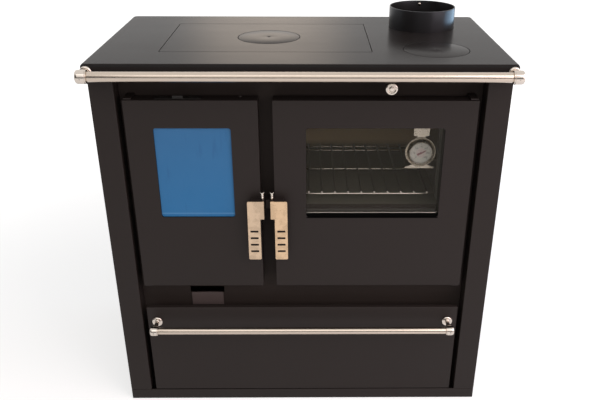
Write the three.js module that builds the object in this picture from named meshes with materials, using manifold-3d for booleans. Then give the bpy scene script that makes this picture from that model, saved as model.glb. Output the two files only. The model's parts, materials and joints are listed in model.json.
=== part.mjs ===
import * as THREE from 'three';
import { mergeVertices } from 'three/addons/utils/BufferGeometryUtils.js';
import Module from 'manifold-3d';

// Wood cookstove: firebox on the left, glazed oven on the right, drawer below, solid hob on top.
// Millimetres. +X right, +Y towards the back, +Z up. The origin is on the floor, at the centre of
// the body's footprint.

const wasm = await Module();
wasm.setup();

// ---------------------------------------------------------------- driving dimensions

// whole stove
const hobWidth = 860;
const bodyDepth = 450;
const stoveHeight = 850;
const sideOverhang = 3;
const frontOverhang = 27.5;
const backOverhang = 12.5;
const sheet = 3;
const seat = 0.3;
const overrun = 1;

// plinth and front corners
const plinthHeight = 28;
const pilasterWidth = 50;
const recessDepth = 42;
const frontPlateThickness = 4;

// hob
const rimHeight = 28;
const rimWall = 6;
const rimCornerRadius = 8;
const rimEdgeRadius = 7;
const deckThickness = 14;
const hobPlateWidth = 444;
const hobPlateDepth = 285;
const hobPlateThickness = 10;
const hobPlateCornerRadius = 4;
const hobPlateCentreX = -74;
const hobPlateFrontSetback = 104.5;
const hobLedge = 8;
const discDiameter = 140;
const discThickness = 5;
const discLedge = 8;
const lidGap = 1.4;
const smokeDiscSideInset = 146;
const smokeDiscSetback = 128.5;

// flue collar
const flueDiameter = 154.5;
const flueWall = 2.5;
const flueHeight = 47.2;
const flueSideInset = 145.7;
const flueBackInset = 122.5;
const flueSocketDepth = 6;
const flueLedge = 4;

// doors
const doorChannel = 14;
const doorGap = 30;
const doorGapCentreX = -74;
const doorTopDrop = 80;
const doorDrawerGap = 61;
const doorDepth = 36;
const doorSheet = 3;
const innerFrameThickness = 5;
const glassThickness = 4;
const glassBorder = 9;
const revealWall = 3;
const revealClearance = 1;
const gasketWidth = 8;
const gasketOffset = 8;
const windowRadius = 5.5;
const fireWindowWidth = 160;
const fireWindowHeight = 204;
const ovenWindowWidth = 289;
const ovenWindowHeight = 204;
const ovenWindowShift = 2;
const windowTopMargin = 59;

// door hinges
const hingeInset = 10;
const hingePinRadius = 3;
const hingePinLength = 14;
const hingeLugHalfWidth = 8;
const hingeLugThickness = 3;
const hingeTopGap = 1;

// door handles
const handleTopRise = 223;
const handleBlockHeight = 42;
const handleHeight = 141;
const handleWidth = 33;
const handleGripWidth = 27.5;
const handleThickness = 3;
const handleStandoff = 21;
const handleFlangeDepth = 27;
const handleCornerRadius = 3;
const handleEdgeToGapCentre = 7;
const handleSlotCount = 4;
const handleSlotPitch = 16.2;
const handleSlotWidth = 17.5;
const handleSlotHeight = 3.6;
const handleSlotRadius = 0.9;
const handleSlotRise = 21;
const pinRadius = 2;
const pinStandoff = 13;
const pinFree = 0.3;
const pinBeadRadius = 3;
const pinBeadHeight = 3;
const pinGrooveHeight = 1.5;
const pinWingHeight = 5.5;
const pinWingSink = 1.5;
const pinWingSpread = 4.6;
const knuckleRadius = 4;
const bracketPlate = 3;
const bracketWidth = 20;
const keeperWidth = 11;
const keeperHeight = 20;
const keeperReach = 32;

// fire chamber
const fireOpeningWidth = 200;
const fireOpeningSill = 13;
const openingTopDrop = 25;
const chamberBackGap = 71.4;
const chamberWall = 3;
const ashPitHeight = 110;
const grateThickness = 15;
const grateLedgeWidth = 11;
const grateLedgeThickness = 6;
const grateSlotCount = 9;
const grateSlotWidth = 11;
const grateBorder = 34;
const brickThickness = 24;
const ashPanTopGap = 31.4;
const ashPanWall = 2;
const ashPanSideGap = 6;
const ashPanBackGap = 45.7;

// oven
const ovenSideSetback = 38;
const ovenWidth = 340;
const ovenHeight = 228;
const ovenBackGap = 62.4;
const ovenWall = 3;
const runnerPlate = 2;
const runnerShelf = 22;
const runnerSetback = 36;
const runnerBackGap = 20;
const rackFloorGap = 11.2;
const rackPitch = 81;
const rackLevelCount = 3;
const rackSideGap = 19;
const rackRodCount = 11;
const rackRodRadius = 2;
const rackBarRadius = 2.5;
const rackSetback = 24;
const rackBackGap = 6;
const rackBarPlaces = [0.007, 0.487, 0.898, 0.985];
const wireSides = 8;
const wireSink = 0.5;

// thermometer
const dialSideInset = 43;
const dialDrop = 77.5;
const caseRadius = 34.3;
const casePlate = 2;
const drumRadius = 25.5;
const drumWall = 1.5;
const drumDepth = 12;
const drumEdge = 1;
const dialClearance = 0.5;
const dialDepth = 6;
const footWidth = 68;
const footHeight = 4;
const footDrop = 4.5;
const footShoulderWidth = 44;
const footShoulderHeight = 14;
const neckWidth = 17.5;
const neckSink = 3;
const hookWidth = 34.5;
const hookPlateRise = 36;
const tongueWidth = 20;
const needleLength = 13;
const needleTail = 9.34;
const needleThickness = 0.8;
const needleTailHalf = 2.2;
const needleWaistHalf = 1.8;
const needleTipHalf = 0.7;
const needleHubRadius = 2.6;
const needleLift = 1;
const needleAngle = 63;

// drawer
const drawerSideGap = 12;
const drawerBottomGap = 2;
const drawerFrontHeight = 241;
const drawerFrontDepth = 12;
const drawerBoxSideGap = 20;
const drawerBackGap = 38.7;
const drawerBoxTopDrop = 36;
const drawerBoxRise = 15;
const drawerWall = 2;
const drawerOpeningGap = 3;
const runnerWidth = 20;
const runnerHeight = 14;
const runnerSideInset = 45;

// rails
const topRailRadius = 10;
const topRailReach = 32.5;
const topRailDrop = 15.5;
const topPostInset = 12;
const topBarrelRadius = 13.5;
const topBarrelLength = 20;
const topRosetteRadius = 12.5;
const drawerRailRadius = 8;
const drawerRailReach = 40;
const drawerRailDrop = 38.5;
const drawerPostInset = 22.5;
const drawerBarrelRadius = 11.5;
const drawerBarrelLength = 21;
const drawerRosetteRadius = 12.5;
const rosetteThickness = 5;
const rosetteBevel = 3;
const postRadius = 5.5;
const barrelChamfer = 2.5;
const railSocketDepth = 12;
const setScrewRadius = 2;
const setScrewDepth = 2.5;

// smoke damper
const damperSideInset = 248.5;
const damperDrop = 53;
const damperRodRadius = 4;
const damperRodSink = 12;
const knobRadius = 12.5;
const knobLength = 20;
const knobEdge = 4;
const knobShoulder = 2;
const knobCrown = 0.7;
const knobFrontReach = 12;
const baffleDrop = 72;
const damperPlateWidth = 110;
const damperPlateDepth = 110;
const damperPlateSetback = 250;
const damperOverlap = 10;
const damperLugWidth = 16;

// air controls
const shutterWidth = 74.5;
const shutterHeight = 34.5;
const shutterThickness = 2.5;
const shutterDrop = 78;
const shutterLeafOverlap = 4;
const shutterLeafHeight = 28;
const shutterLeafRise = 4;
const shutterStemWidth = 50;
const shutterStemHeight = 10;
const shutterStemRise = 14;
const airSlotWidth = 80;
const airSlotHeight = 17;
const airSlotClearance = 1;
const regulatorLength = 96;
const regulatorDepth = 18;
const regulatorThickness = 2;
const regulatorShift = -25;
const regulatorSetback = 6;
const regulatorTabWidth = 22;
const regulatorTabHeight = 6;
const airHoleCount = 3;
const airHoleLength = 16;
const airHoleDepth = 7;
const airHolePitch = 30;

// facets of round pieces
const roundSides = 24;
const largeSides = 48;
const smallSides = 12;
const cornerSteps = 4;

// ---------------------------------------------------------------- derived places

const bodyWidth = hobWidth - 2 * sideOverhang;
const frontY = -bodyDepth / 2;
const backY = bodyDepth / 2;
const rimFrontY = frontY - frontOverhang;
const rimBackY = backY + backOverhang;
const rimBottom = stoveHeight - rimHeight;
const deckBottom = stoveHeight - deckThickness;
const wallTop = rimBottom - seat;
const innerTop = deckBottom - seat;
const innerHalfWidth = bodyWidth / 2 - sheet - seat;
const plateFrontY = frontY + recessDepth;
const plateBackY = plateFrontY + frontPlateThickness;
const rearPanelFrontY = backY - 2 * sheet - seat;
const drawerFrontBottom = plinthHeight + drawerBottomGap;
const drawerFrontTop = drawerFrontBottom + drawerFrontHeight;
const drawerHalf = bodyWidth / 2 - pilasterWidth - drawerSideGap;
const drawerBoxHalf = drawerHalf - drawerBoxSideGap;
const drawerBoxBottom = drawerFrontBottom + drawerBoxRise;
const drawerBoxTop = drawerFrontTop - drawerBoxTopDrop;
const doorBottom = drawerFrontTop + doorDrawerGap;
const doorTop = stoveHeight - doorTopDrop;
const doorOuterX = bodyWidth / 2 - pilasterWidth - doorChannel;
const fireDoor = { left: -doorOuterX, right: doorGapCentreX - doorGap / 2 };
const ovenDoor = { left: doorGapCentreX + doorGap / 2, right: doorOuterX };
const fireCentreX = (fireDoor.left + fireDoor.right) / 2;
const windowTop = doorTop - windowTopMargin;
const openingTop = doorTop - openingTopDrop;
const fireOpeningBottom = doorBottom + fireOpeningSill;
const grateHeight = fireOpeningBottom + ashPitHeight;
const ovenLeft = doorGapCentreX + ovenSideSetback;
const ovenRight = ovenLeft + ovenWidth;
const ovenTop = openingTop;
const ovenFloor = ovenTop - ovenHeight;
const damperX = hobWidth / 2 - damperSideInset;
const damperZ = stoveHeight - damperDrop;

// ---------------------------------------------------------------- finishes

function finish(color, roughness, metalness, extra = {}) {
  return () => new THREE.MeshStandardMaterial({ color, roughness, metalness, ...extra });
}

const blackPaint = finish(0x302b28, 0.55, 0.2);
const darkRecess = finish(0x1c1b1a, 0.65, 0.2);
const hobSteel = finish(0x55504c, 0.4, 0.6);
const stainless = finish(0xd8c9b4, 0.3, 1.0);
const chrome = finish(0xe8e6e2, 0.12, 1.0);
const castIron = finish(0x2a2827, 0.75, 0.5);
const firebrick = finish(0xb59b78, 0.95, 0.0);
const ropeSeal = finish(0x4a4744, 1.0, 0.0);
const galvanised = finish(0x77736c, 0.5, 0.8);
const blueGlass = finish(0x3a78b4, 0.1, 0.0);
const clearGlass = finish(0x39382f, 0.05, 0.0, { transparent: true, opacity: 0.35 });
const dialPaper = finish(0xd8d4c8, 0.7, 0.0);
const redPaint = finish(0xb03428, 0.5, 0.0);

// ---------------------------------------------------------------- shape helpers

const TO_Y = new THREE.Matrix4().makeBasis(
  new THREE.Vector3(1, 0, 0), new THREE.Vector3(0, 0, 1), new THREE.Vector3(0, -1, 0));
const TO_X = new THREE.Matrix4().makeBasis(
  new THREE.Vector3(0, 1, 0), new THREE.Vector3(0, 0, 1), new THREE.Vector3(1, 0, 0));
const LATHE_TO_Z = new THREE.Matrix4().makeRotationX(Math.PI / 2);
const LATHE_TO_FRONT = new THREE.Matrix4().makeRotationX(Math.PI);

function block(x0, x1, y0, y1, z0, z1) {
  const geometry = new THREE.BoxGeometry(x1 - x0, y1 - y0, z1 - z0);
  return geometry.translate((x0 + x1) / 2, (y0 + y1) / 2, (z0 + z1) / 2);
}

function outline(points) {
  return new THREE.Shape(points.map(([x, y]) => new THREE.Vector2(x, y)));
}

function roundedRect(x0, x1, y0, y1, radius) {
  const shape = new THREE.Shape();
  shape.moveTo(x0 + radius, y0);
  shape.lineTo(x1 - radius, y0);
  shape.absarc(x1 - radius, y0 + radius, radius, -Math.PI / 2, 0, false);
  shape.lineTo(x1, y1 - radius);
  shape.absarc(x1 - radius, y1 - radius, radius, 0, Math.PI / 2, false);
  shape.lineTo(x0 + radius, y1);
  shape.absarc(x0 + radius, y1 - radius, radius, Math.PI / 2, Math.PI, false);
  shape.lineTo(x0, y0 + radius);
  shape.absarc(x0 + radius, y0 + radius, radius, Math.PI, 1.5 * Math.PI, false);
  return shape;
}

function extrude(shape, depth) {
  return new THREE.ExtrudeGeometry(shape, { depth, bevelEnabled: false, curveSegments: cornerSteps });
}

// the shape's x and y become the part's x and y
function prismZ(shape, z0, z1) {
  return extrude(shape, z1 - z0).translate(0, 0, z0);
}

// the shape's x and y become the part's x and z
function prismY(shape, y0, y1) {
  return extrude(shape, y1 - y0).applyMatrix4(TO_Y).translate(0, y1, 0);
}

// the shape's x and y become the part's y and z
function prismX(shape, x0, x1) {
  return extrude(shape, x1 - x0).applyMatrix4(TO_X).translate(x0, 0, 0);
}

function rodZ(radius, x, y, z0, z1, sides = roundSides) {
  const geometry = new THREE.CylinderGeometry(radius, radius, z1 - z0, sides);
  return geometry.rotateX(Math.PI / 2).translate(x, y, (z0 + z1) / 2);
}

function rodY(radius, x, z, y0, y1, sides = roundSides) {
  const geometry = new THREE.CylinderGeometry(radius, radius, y1 - y0, sides);
  return geometry.translate(x, (y0 + y1) / 2, z);
}

function rodX(radius, y, z, x0, x1, sides = roundSides) {
  const geometry = new THREE.CylinderGeometry(radius, radius, x1 - x0, sides);
  return geometry.rotateZ(Math.PI / 2).translate((x0 + x1) / 2, y, z);
}

// a turned piece from [radius, height] pairs, listed from the bottom up
function turned(profile, sides = roundSides) {
  return new THREE.LatheGeometry(profile.map(([r, h]) => new THREE.Vector2(r, h)), sides);
}

// a closed body from rings with equal point counts, lowest first, with flat ends
function stackedRings(rings) {
  const count = rings[0].length;
  const points = rings.flat();
  const first = points.length;
  for (const ring of [rings[0], rings[rings.length - 1]]) {
    const centre = ring.reduce((sum, p) => sum.map((value, axis) => value + p[axis] / count), [0, 0, 0]);
    points.push(centre);
  }
  const faces = [];
  for (let i = 0; i < count; i += 1) {
    const next = (i + 1) % count;
    faces.push(first, next, i);
    const top = (rings.length - 1) * count;
    faces.push(first + 1, top + i, top + next);
    for (let level = 0; level < rings.length - 1; level += 1) {
      const low = level * count;
      const high = low + count;
      faces.push(low + i, low + next, high + next, low + i, high + next, high + i);
    }
  }
  const geometry = new THREE.BufferGeometry();
  geometry.setAttribute('position', new THREE.Float32BufferAttribute(points.flat(), 3));
  geometry.setIndex(faces);
  return geometry;
}

function ringPoints(x0, x1, y0, y1, radius, z) {
  const shape = roundedRect(x0, x1, y0, y1, radius);
  return shape.getPoints(cornerSteps).slice(0, -1).map((p) => [p.x, p.y, z]);
}

function toSolid(geometry) {
  const bare = geometry.clone();
  bare.deleteAttribute('normal');
  bare.deleteAttribute('uv');
  const merged = mergeVertices(bare, 1e-4);
  return new wasm.Manifold(new wasm.Mesh({
    numProp: 3,
    vertProperties: new Float32Array(merged.attributes.position.array),
    triVerts: new Uint32Array(merged.index.array),
  }));
}

function toGeometry(solid) {
  const mesh = solid.getMesh();
  const geometry = new THREE.BufferGeometry();
  geometry.setAttribute('position', new THREE.Float32BufferAttribute(mesh.vertProperties, 3));
  geometry.setIndex(new THREE.Uint32BufferAttribute(mesh.triVerts, 1));
  return geometry;
}

function join(...pieces) {
  return toGeometry(pieces.map(toSolid).reduce((whole, piece) => whole.add(piece)));
}

function cut(base, ...tools) {
  return toGeometry(tools.map(toSolid).reduce((whole, tool) => whole.subtract(tool), toSolid(base)));
}

// reflects a piece at the plane x = planeX and turns its faces back outward
function mirrored(geometry, planeX) {
  const copy = mergeVertices(geometry.clone().deleteAttribute('normal'), 1e-4);
  copy.applyMatrix4(new THREE.Matrix4().makeScale(-1, 1, 1)).translate(2 * planeX, 0, 0);
  const index = copy.index;
  for (let i = 0; i < index.count; i += 3) {
    const kept = index.getX(i);
    index.setX(i, index.getX(i + 1));
    index.setX(i + 1, kept);
  }
  return copy;
}

// ---------------------------------------------------------------- assembly

const group = new THREE.Group();
group.name = 'wood_cookstove';

function add(name, geometry, material, parent = group) {
  const solid = geometry.index ? geometry.clone() : mergeVertices(geometry);
  solid.computeVertexNormals();
  const mesh = new THREE.Mesh(solid, material());
  mesh.name = name;
  parent.add(mesh);
  return mesh;
}

// ---------------------------------------------------------------- body

function plinth() {
  const half = bodyWidth / 2;
  const outer = block(-half, half, frontY, backY, 0, plinthHeight);
  const inner = block(-half + sheet, half - sheet, frontY + sheet, backY - sheet,
    sheet, plinthHeight + overrun);
  return cut(outer, inner);
}

function sidePanel() {
  const outer = bodyWidth / 2;
  return block(outer - sheet, outer, frontY + sheet + seat, backY, plinthHeight + seat, wallTop);
}

// front corner post: a face strip with a return that runs back to the recessed plate
function pilaster() {
  const outer = bodyWidth / 2;
  const inner = outer - pilasterWidth;
  const shape = outline([
    [inner, frontY],
    [outer, frontY],
    [outer, frontY + sheet],
    [inner + sheet, frontY + sheet],
    [inner + sheet, plateFrontY - seat],
    [inner, plateFrontY - seat],
  ]);
  return prismZ(shape, plinthHeight + seat, wallTop);
}

function backPanel() {
  return block(-innerHalfWidth, innerHalfWidth, rearPanelFrontY, rearPanelFrontY + sheet,
    sheet + seat, innerTop);
}

const shutterBottom = doorBottom - shutterDrop;
const shutterTop = shutterBottom + shutterHeight;
const airSlotBottom = shutterTop - airSlotClearance;

// the open air slot above the shutter, and the narrower run of its stem below that slot
function airSlots(y0, y1) {
  const half = airSlotWidth / 2;
  const stemHalf = shutterStemWidth / 2 + airSlotClearance;
  return [
    block(fireCentreX - half, fireCentreX + half, y0, y1, airSlotBottom, airSlotBottom + airSlotHeight),
    block(fireCentreX - stemHalf, fireCentreX + stemHalf, y0, y1,
      shutterBottom + shutterStemRise - airSlotClearance, airSlotBottom + airSlotClearance),
  ];
}

function frontPlate() {
  const y0 = plateFrontY - overrun;
  const y1 = plateBackY + overrun;
  const half = fireOpeningWidth / 2;
  const drawerOpening = drawerBoxHalf + drawerOpeningGap;
  return cut(
    block(-innerHalfWidth, innerHalfWidth, plateFrontY, plateBackY, sheet + seat, innerTop),
    block(fireCentreX - half, fireCentreX + half, y0, y1, fireOpeningBottom, openingTop),
    block(ovenLeft, ovenRight, y0, y1, ovenFloor, ovenTop),
    block(-drawerOpening, drawerOpening, y0, y1,
      drawerBoxBottom - drawerOpeningGap, drawerBoxTop + drawerOpeningGap),
    ...airSlots(y0, y1),
    rodY(damperRodRadius + pinFree, damperX, damperZ, y0, y1, smallSides),
  );
}

function buildBody() {
  add('plinth', plinth(), blackPaint);
  add('side_panel_right', sidePanel(), blackPaint);
  add('side_panel_left', mirrored(sidePanel(), 0), blackPaint);
  add('pilaster_right', pilaster(), blackPaint);
  add('pilaster_left', mirrored(pilaster(), 0), blackPaint);
  add('back_panel', backPanel(), blackPaint);
  add('front_plate', frontPlate(), darkRecess);
}

// ---------------------------------------------------------------- hob

const hobPlateFrontY = rimFrontY + hobPlateFrontSetback;
const hobPlateCentreY = hobPlateFrontY + hobPlateDepth / 2;
const hobPlateBottom = stoveHeight - hobPlateThickness + seat;
const smokeDiscCentreX = hobWidth / 2 - smokeDiscSideInset;
const smokeDiscCentreY = rimFrontY + smokeDiscSetback;
const flueCentreX = hobWidth / 2 - flueSideInset;
const flueCentreY = rimBackY - flueBackInset;
const flueBottom = stoveHeight - flueSocketDepth + seat;

function hobRect(grow, z0, z1, radius = hobPlateCornerRadius) {
  const halfX = hobPlateWidth / 2 + grow;
  const halfY = hobPlateDepth / 2 + grow;
  const shape = roundedRect(
    hobPlateCentreX - halfX, hobPlateCentreX + halfX,
    hobPlateCentreY - halfY, hobPlateCentreY + halfY, radius);
  return prismZ(shape, z0, z1);
}

// the cast top: a flat deck with a rounded edge and a rim turned down over the body
function hobFrame() {
  const half = hobWidth / 2;
  const levels = Array.from({ length: cornerSteps + 1 }, (_, step) => (step / cornerSteps) * (Math.PI / 2));
  const ringAt = (inset, z) => ringPoints(
    -half + inset, half - inset, rimFrontY + inset, rimBackY - inset, rimCornerRadius, z);
  const rings = [
    ringAt(0, rimBottom),
    ...levels.map((angle) => ringAt(
      rimEdgeRadius * (1 - Math.cos(angle)),
      stoveHeight - rimEdgeRadius * (1 - Math.sin(angle)))),
  ];
  const top = stoveHeight + overrun;
  const under = deckBottom - overrun;
  const disc = discDiameter / 2;
  const flue = flueDiameter / 2;
  return cut(
    stackedRings(rings),
    block(-half + rimWall, half - rimWall, rimFrontY + rimWall, rimBackY - rimWall,
      rimBottom - overrun, deckBottom),
    hobRect(0, stoveHeight - hobPlateThickness, top),
    hobRect(-hobLedge, under, top),
    rodZ(disc, smokeDiscCentreX, smokeDiscCentreY, stoveHeight - discThickness, top, largeSides),
    rodZ(disc - discLedge, smokeDiscCentreX, smokeDiscCentreY, under, top, largeSides),
    rodZ(flue + seat, flueCentreX, flueCentreY, stoveHeight - flueSocketDepth, top, largeSides),
    rodZ(flue - flueLedge, flueCentreX, flueCentreY, under, top, largeSides),
  );
}

function hobPlate() {
  return cut(
    hobRect(-lidGap, hobPlateBottom, stoveHeight),
    rodZ(discDiameter / 2, hobPlateCentreX, hobPlateCentreY,
      stoveHeight - discThickness, stoveHeight + overrun, largeSides),
    rodZ(discDiameter / 2 - discLedge, hobPlateCentreX, hobPlateCentreY,
      hobPlateBottom - overrun, stoveHeight + overrun, largeSides),
  );
}

function hobDisc(x, y) {
  return rodZ(discDiameter / 2 - lidGap, x, y, stoveHeight - discThickness + seat, stoveHeight, largeSides);
}

function flueCollar() {
  const outer = flueDiameter / 2;
  const inner = outer - flueWall;
  const height = stoveHeight + flueHeight - flueBottom;
  const profile = [[inner, 0], [outer, 0], [outer, height], [inner, height], [inner, 0]];
  return turned(profile, largeSides).applyMatrix4(LATHE_TO_Z).translate(flueCentreX, flueCentreY, flueBottom);
}

function buildHob() {
  add('hob_frame', hobFrame(), hobSteel);
  add('hob_plate', hobPlate(), hobSteel);
  add('hob_disc', hobDisc(hobPlateCentreX, hobPlateCentreY), hobSteel);
  add('smoke_disc', hobDisc(smokeDiscCentreX, smokeDiscCentreY), hobSteel);
  add('flue_collar', flueCollar(), castIron);
}

// ---------------------------------------------------------------- rails

// rosette, post and barrel of a rail, with a blind socket for the rail's end
function railBracket(seatY, postX, z, reach, rosetteRadius, barrelRadius, barrelLength, railRadius) {
  const railY = seatY - reach;
  const rosette = turned([
    [0, 0],
    [rosetteRadius, 0],
    [rosetteRadius, rosetteThickness / 2],
    [rosetteRadius - rosetteBevel, rosetteThickness],
    [postRadius, rosetteThickness],
    [postRadius, reach - seat],
    [0, reach - seat],
  ]).applyMatrix4(LATHE_TO_FRONT).translate(postX, seatY - seat, z);
  const halfLength = barrelLength / 2;
  const barrel = turned([
    [0, -halfLength],
    [barrelRadius - barrelChamfer, -halfLength],
    [barrelRadius, -halfLength + barrelChamfer],
    [barrelRadius, halfLength - barrelChamfer],
    [barrelRadius - barrelChamfer, halfLength],
    [0, halfLength],
  ]).rotateZ(Math.PI / 2).translate(postX, railY, z);
  const innerEnd = postX - halfLength;
  const socket = rodX(railRadius + seat, railY, z, innerEnd - overrun, innerEnd + railSocketDepth);
  const screwFront = railY - barrelRadius;
  const setScrew = rodY(setScrewRadius, postX, z, screwFront - overrun, screwFront + setScrewDepth,
    smallSides);
  return cut(join(rosette, barrel), socket, setScrew);
}

function railBar(seatY, postX, z, reach, barrelLength, radius) {
  const end = postX - barrelLength / 2 + railSocketDepth - seat;
  return rodX(radius, seatY - reach, z, -end, end);
}

function buildTopRail() {
  const postX = hobWidth / 2 - topPostInset;
  const z = stoveHeight - topRailDrop;
  const bracket = railBracket(rimFrontY, postX, z, topRailReach,
    topRosetteRadius, topBarrelRadius, topBarrelLength, topRailRadius);
  add('top_rail', railBar(rimFrontY, postX, z, topRailReach, topBarrelLength, topRailRadius), stainless);
  add('top_rail_bracket_right', bracket, chrome);
  add('top_rail_bracket_left', mirrored(bracket, 0), chrome);
}

// ---------------------------------------------------------------- fire chamber

const chamberFrontY = plateBackY + seat;
const chamberLeft = fireCentreX - fireOpeningWidth / 2;
const chamberRight = chamberLeft + fireOpeningWidth;
const chamberBackY = rearPanelFrontY - chamberBackGap;
const grateLedgeTop = grateHeight - seat;
const grateLedgeBottom = grateLedgeTop - grateLedgeThickness;

// steel shell, open to the front and the top, with a ledge on each side for the grate
function fireShell() {
  const floor = fireOpeningBottom - chamberWall;
  const outer = block(chamberLeft - chamberWall, chamberRight + chamberWall,
    chamberFrontY, chamberBackY + chamberWall, floor, openingTop);
  const inner = block(chamberLeft, chamberRight,
    chamberFrontY - overrun, chamberBackY, fireOpeningBottom, openingTop + overrun);
  const ledge = (x0, x1) => block(x0, x1, chamberFrontY, chamberBackY + chamberWall / 2,
    grateLedgeBottom, grateLedgeTop);
  return join(
    cut(outer, inner),
    ledge(chamberLeft - chamberWall / 2, chamberLeft + grateLedgeWidth),
    ledge(chamberRight - grateLedgeWidth, chamberRight + chamberWall / 2),
  );
}

function grate() {
  const x0 = chamberLeft + seat;
  const x1 = chamberRight - seat;
  const y0 = chamberFrontY;
  const y1 = chamberBackY - seat;
  const slab = block(x0, x1, y0, y1, grateHeight, grateHeight + grateThickness);
  const span = y1 - y0 - 2 * grateBorder;
  const pitch = span / grateSlotCount;
  const slots = [];
  for (let i = 0; i < grateSlotCount; i += 1) {
    const centre = y0 + grateBorder + pitch * (i + 1 / 2);
    slots.push(block(x0 + grateBorder, x1 - grateBorder,
      centre - grateSlotWidth / 2, centre + grateSlotWidth / 2,
      grateHeight - overrun, grateHeight + grateThickness + overrun));
  }
  return cut(slab, ...slots);
}

function buildFireChamber() {
  const brickBottom = grateHeight + grateThickness + seat;
  const brickBackY = chamberBackY - seat - brickThickness;
  add('fire_shell', fireShell(), castIron);
  add('grate', grate(), castIron);
  add('firebrick_left', block(chamberLeft + seat, chamberLeft + seat + brickThickness,
    chamberFrontY, brickBackY - seat, brickBottom, openingTop), firebrick);
  add('firebrick_right', block(chamberRight - seat - brickThickness, chamberRight - seat,
    chamberFrontY, brickBackY - seat, brickBottom, openingTop), firebrick);
  add('firebrick_back', block(chamberLeft + seat, chamberRight - seat,
    brickBackY, chamberBackY - seat, brickBottom, openingTop), firebrick);
  add('ash_pan', ashPan(), galvanised);
}

function ashPan() {
  const x0 = chamberLeft + ashPanSideGap;
  const x1 = chamberRight - ashPanSideGap;
  const y0 = chamberFrontY + seat;
  const y1 = chamberBackY - ashPanBackGap;
  const bottom = fireOpeningBottom + seat;
  const top = grateLedgeBottom - ashPanTopGap;
  const outer = block(x0, x1, y0, y1, bottom, top);
  const inner = block(x0 + ashPanWall, x1 - ashPanWall, y0 + ashPanWall, y1 - ashPanWall,
    bottom + ashPanWall, top + overrun);
  return cut(outer, inner);
}

// ---------------------------------------------------------------- oven

const ovenBackY = rearPanelFrontY - ovenBackGap;
const rackCentreX = (ovenLeft + ovenRight) / 2;
const rackHalf = ovenWidth / 2 - rackSideGap;
const rackRodSpacing = (2 * (rackHalf - rackRodRadius)) / (rackRodCount - 1);
const rackFrontY = chamberFrontY + rackSetback;
const rackDepth = ovenBackY - rackBackGap - rackFrontY;
const rackLevels = Array.from({ length: rackLevelCount }, (_, i) => ovenFloor + rackFloorGap + i * rackPitch);
const topRackLevel = rackLevels[rackLevels.length - 1];

function ovenBox() {
  const outer = block(ovenLeft - ovenWall, ovenRight + ovenWall,
    chamberFrontY, ovenBackY + ovenWall, ovenFloor - ovenWall, ovenTop + ovenWall);
  const inner = block(ovenLeft, ovenRight, chamberFrontY - overrun, ovenBackY, ovenFloor, ovenTop);
  return cut(outer, inner);
}

// wall plate with one shelf for each rack level
function rackRunner() {
  const wallX = ovenLeft + seat;
  const y0 = chamberFrontY + runnerSetback;
  const y1 = ovenBackY - runnerBackGap;
  const bottom = rackLevels[0] - runnerPlate;
  const shelves = rackLevels.map((level) => block(
    wallX, wallX + runnerShelf + runnerPlate, y0, y1, level - runnerPlate, level));
  return join(block(wallX, wallX + runnerPlate, y0, y1, bottom, topRackLevel), ...shelves);
}

// cross bars carry the front-to-back rods, which lie on top of them
function ovenRack(level) {
  const barZ = level + seat + rackBarRadius;
  const rodLevel = barZ + rackBarRadius + rackRodRadius - wireSink;
  const wires = rackBarPlaces.map((place) => rodX(
    rackBarRadius, rackFrontY + place * rackDepth, barZ,
    rackCentreX - rackHalf, rackCentreX + rackHalf, wireSides));
  for (let i = 0; i < rackRodCount; i += 1) {
    const x = rackCentreX - rackHalf + rackRodRadius + i * rackRodSpacing;
    wires.push(rodY(rackRodRadius, x, rodLevel, rackFrontY, rackFrontY + rackDepth, wireSides));
  }
  return join(...wires);
}

function buildOven() {
  add('oven_box', ovenBox(), galvanised);
  add('rack_runner_left', rackRunner(), galvanised);
  add('rack_runner_right', mirrored(rackRunner(), rackCentreX), galvanised);
  add('oven_rack_lower', ovenRack(rackLevels[0]), chrome);
  add('oven_rack_upper', ovenRack(topRackLevel), chrome);
}

// ---------------------------------------------------------------- thermometer

// it hangs on the upper rack's front bar, by a tongue that fits between two rods
const dialCentreX = ovenRight - dialSideInset;
const dialCentreZ = windowTop - dialDrop;
const upperBarZ = topRackLevel + seat + rackBarRadius;
const upperBarY = rackFrontY + rackBarPlaces[0] * rackDepth;
const caseBackY = upperBarY - rackBarRadius - seat;
const tongueSpace = Math.floor((dialCentreX - rackCentreX) / rackRodSpacing);
const tongueX = rackCentreX + (tongueSpace + 1 / 2) * rackRodSpacing;

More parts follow.
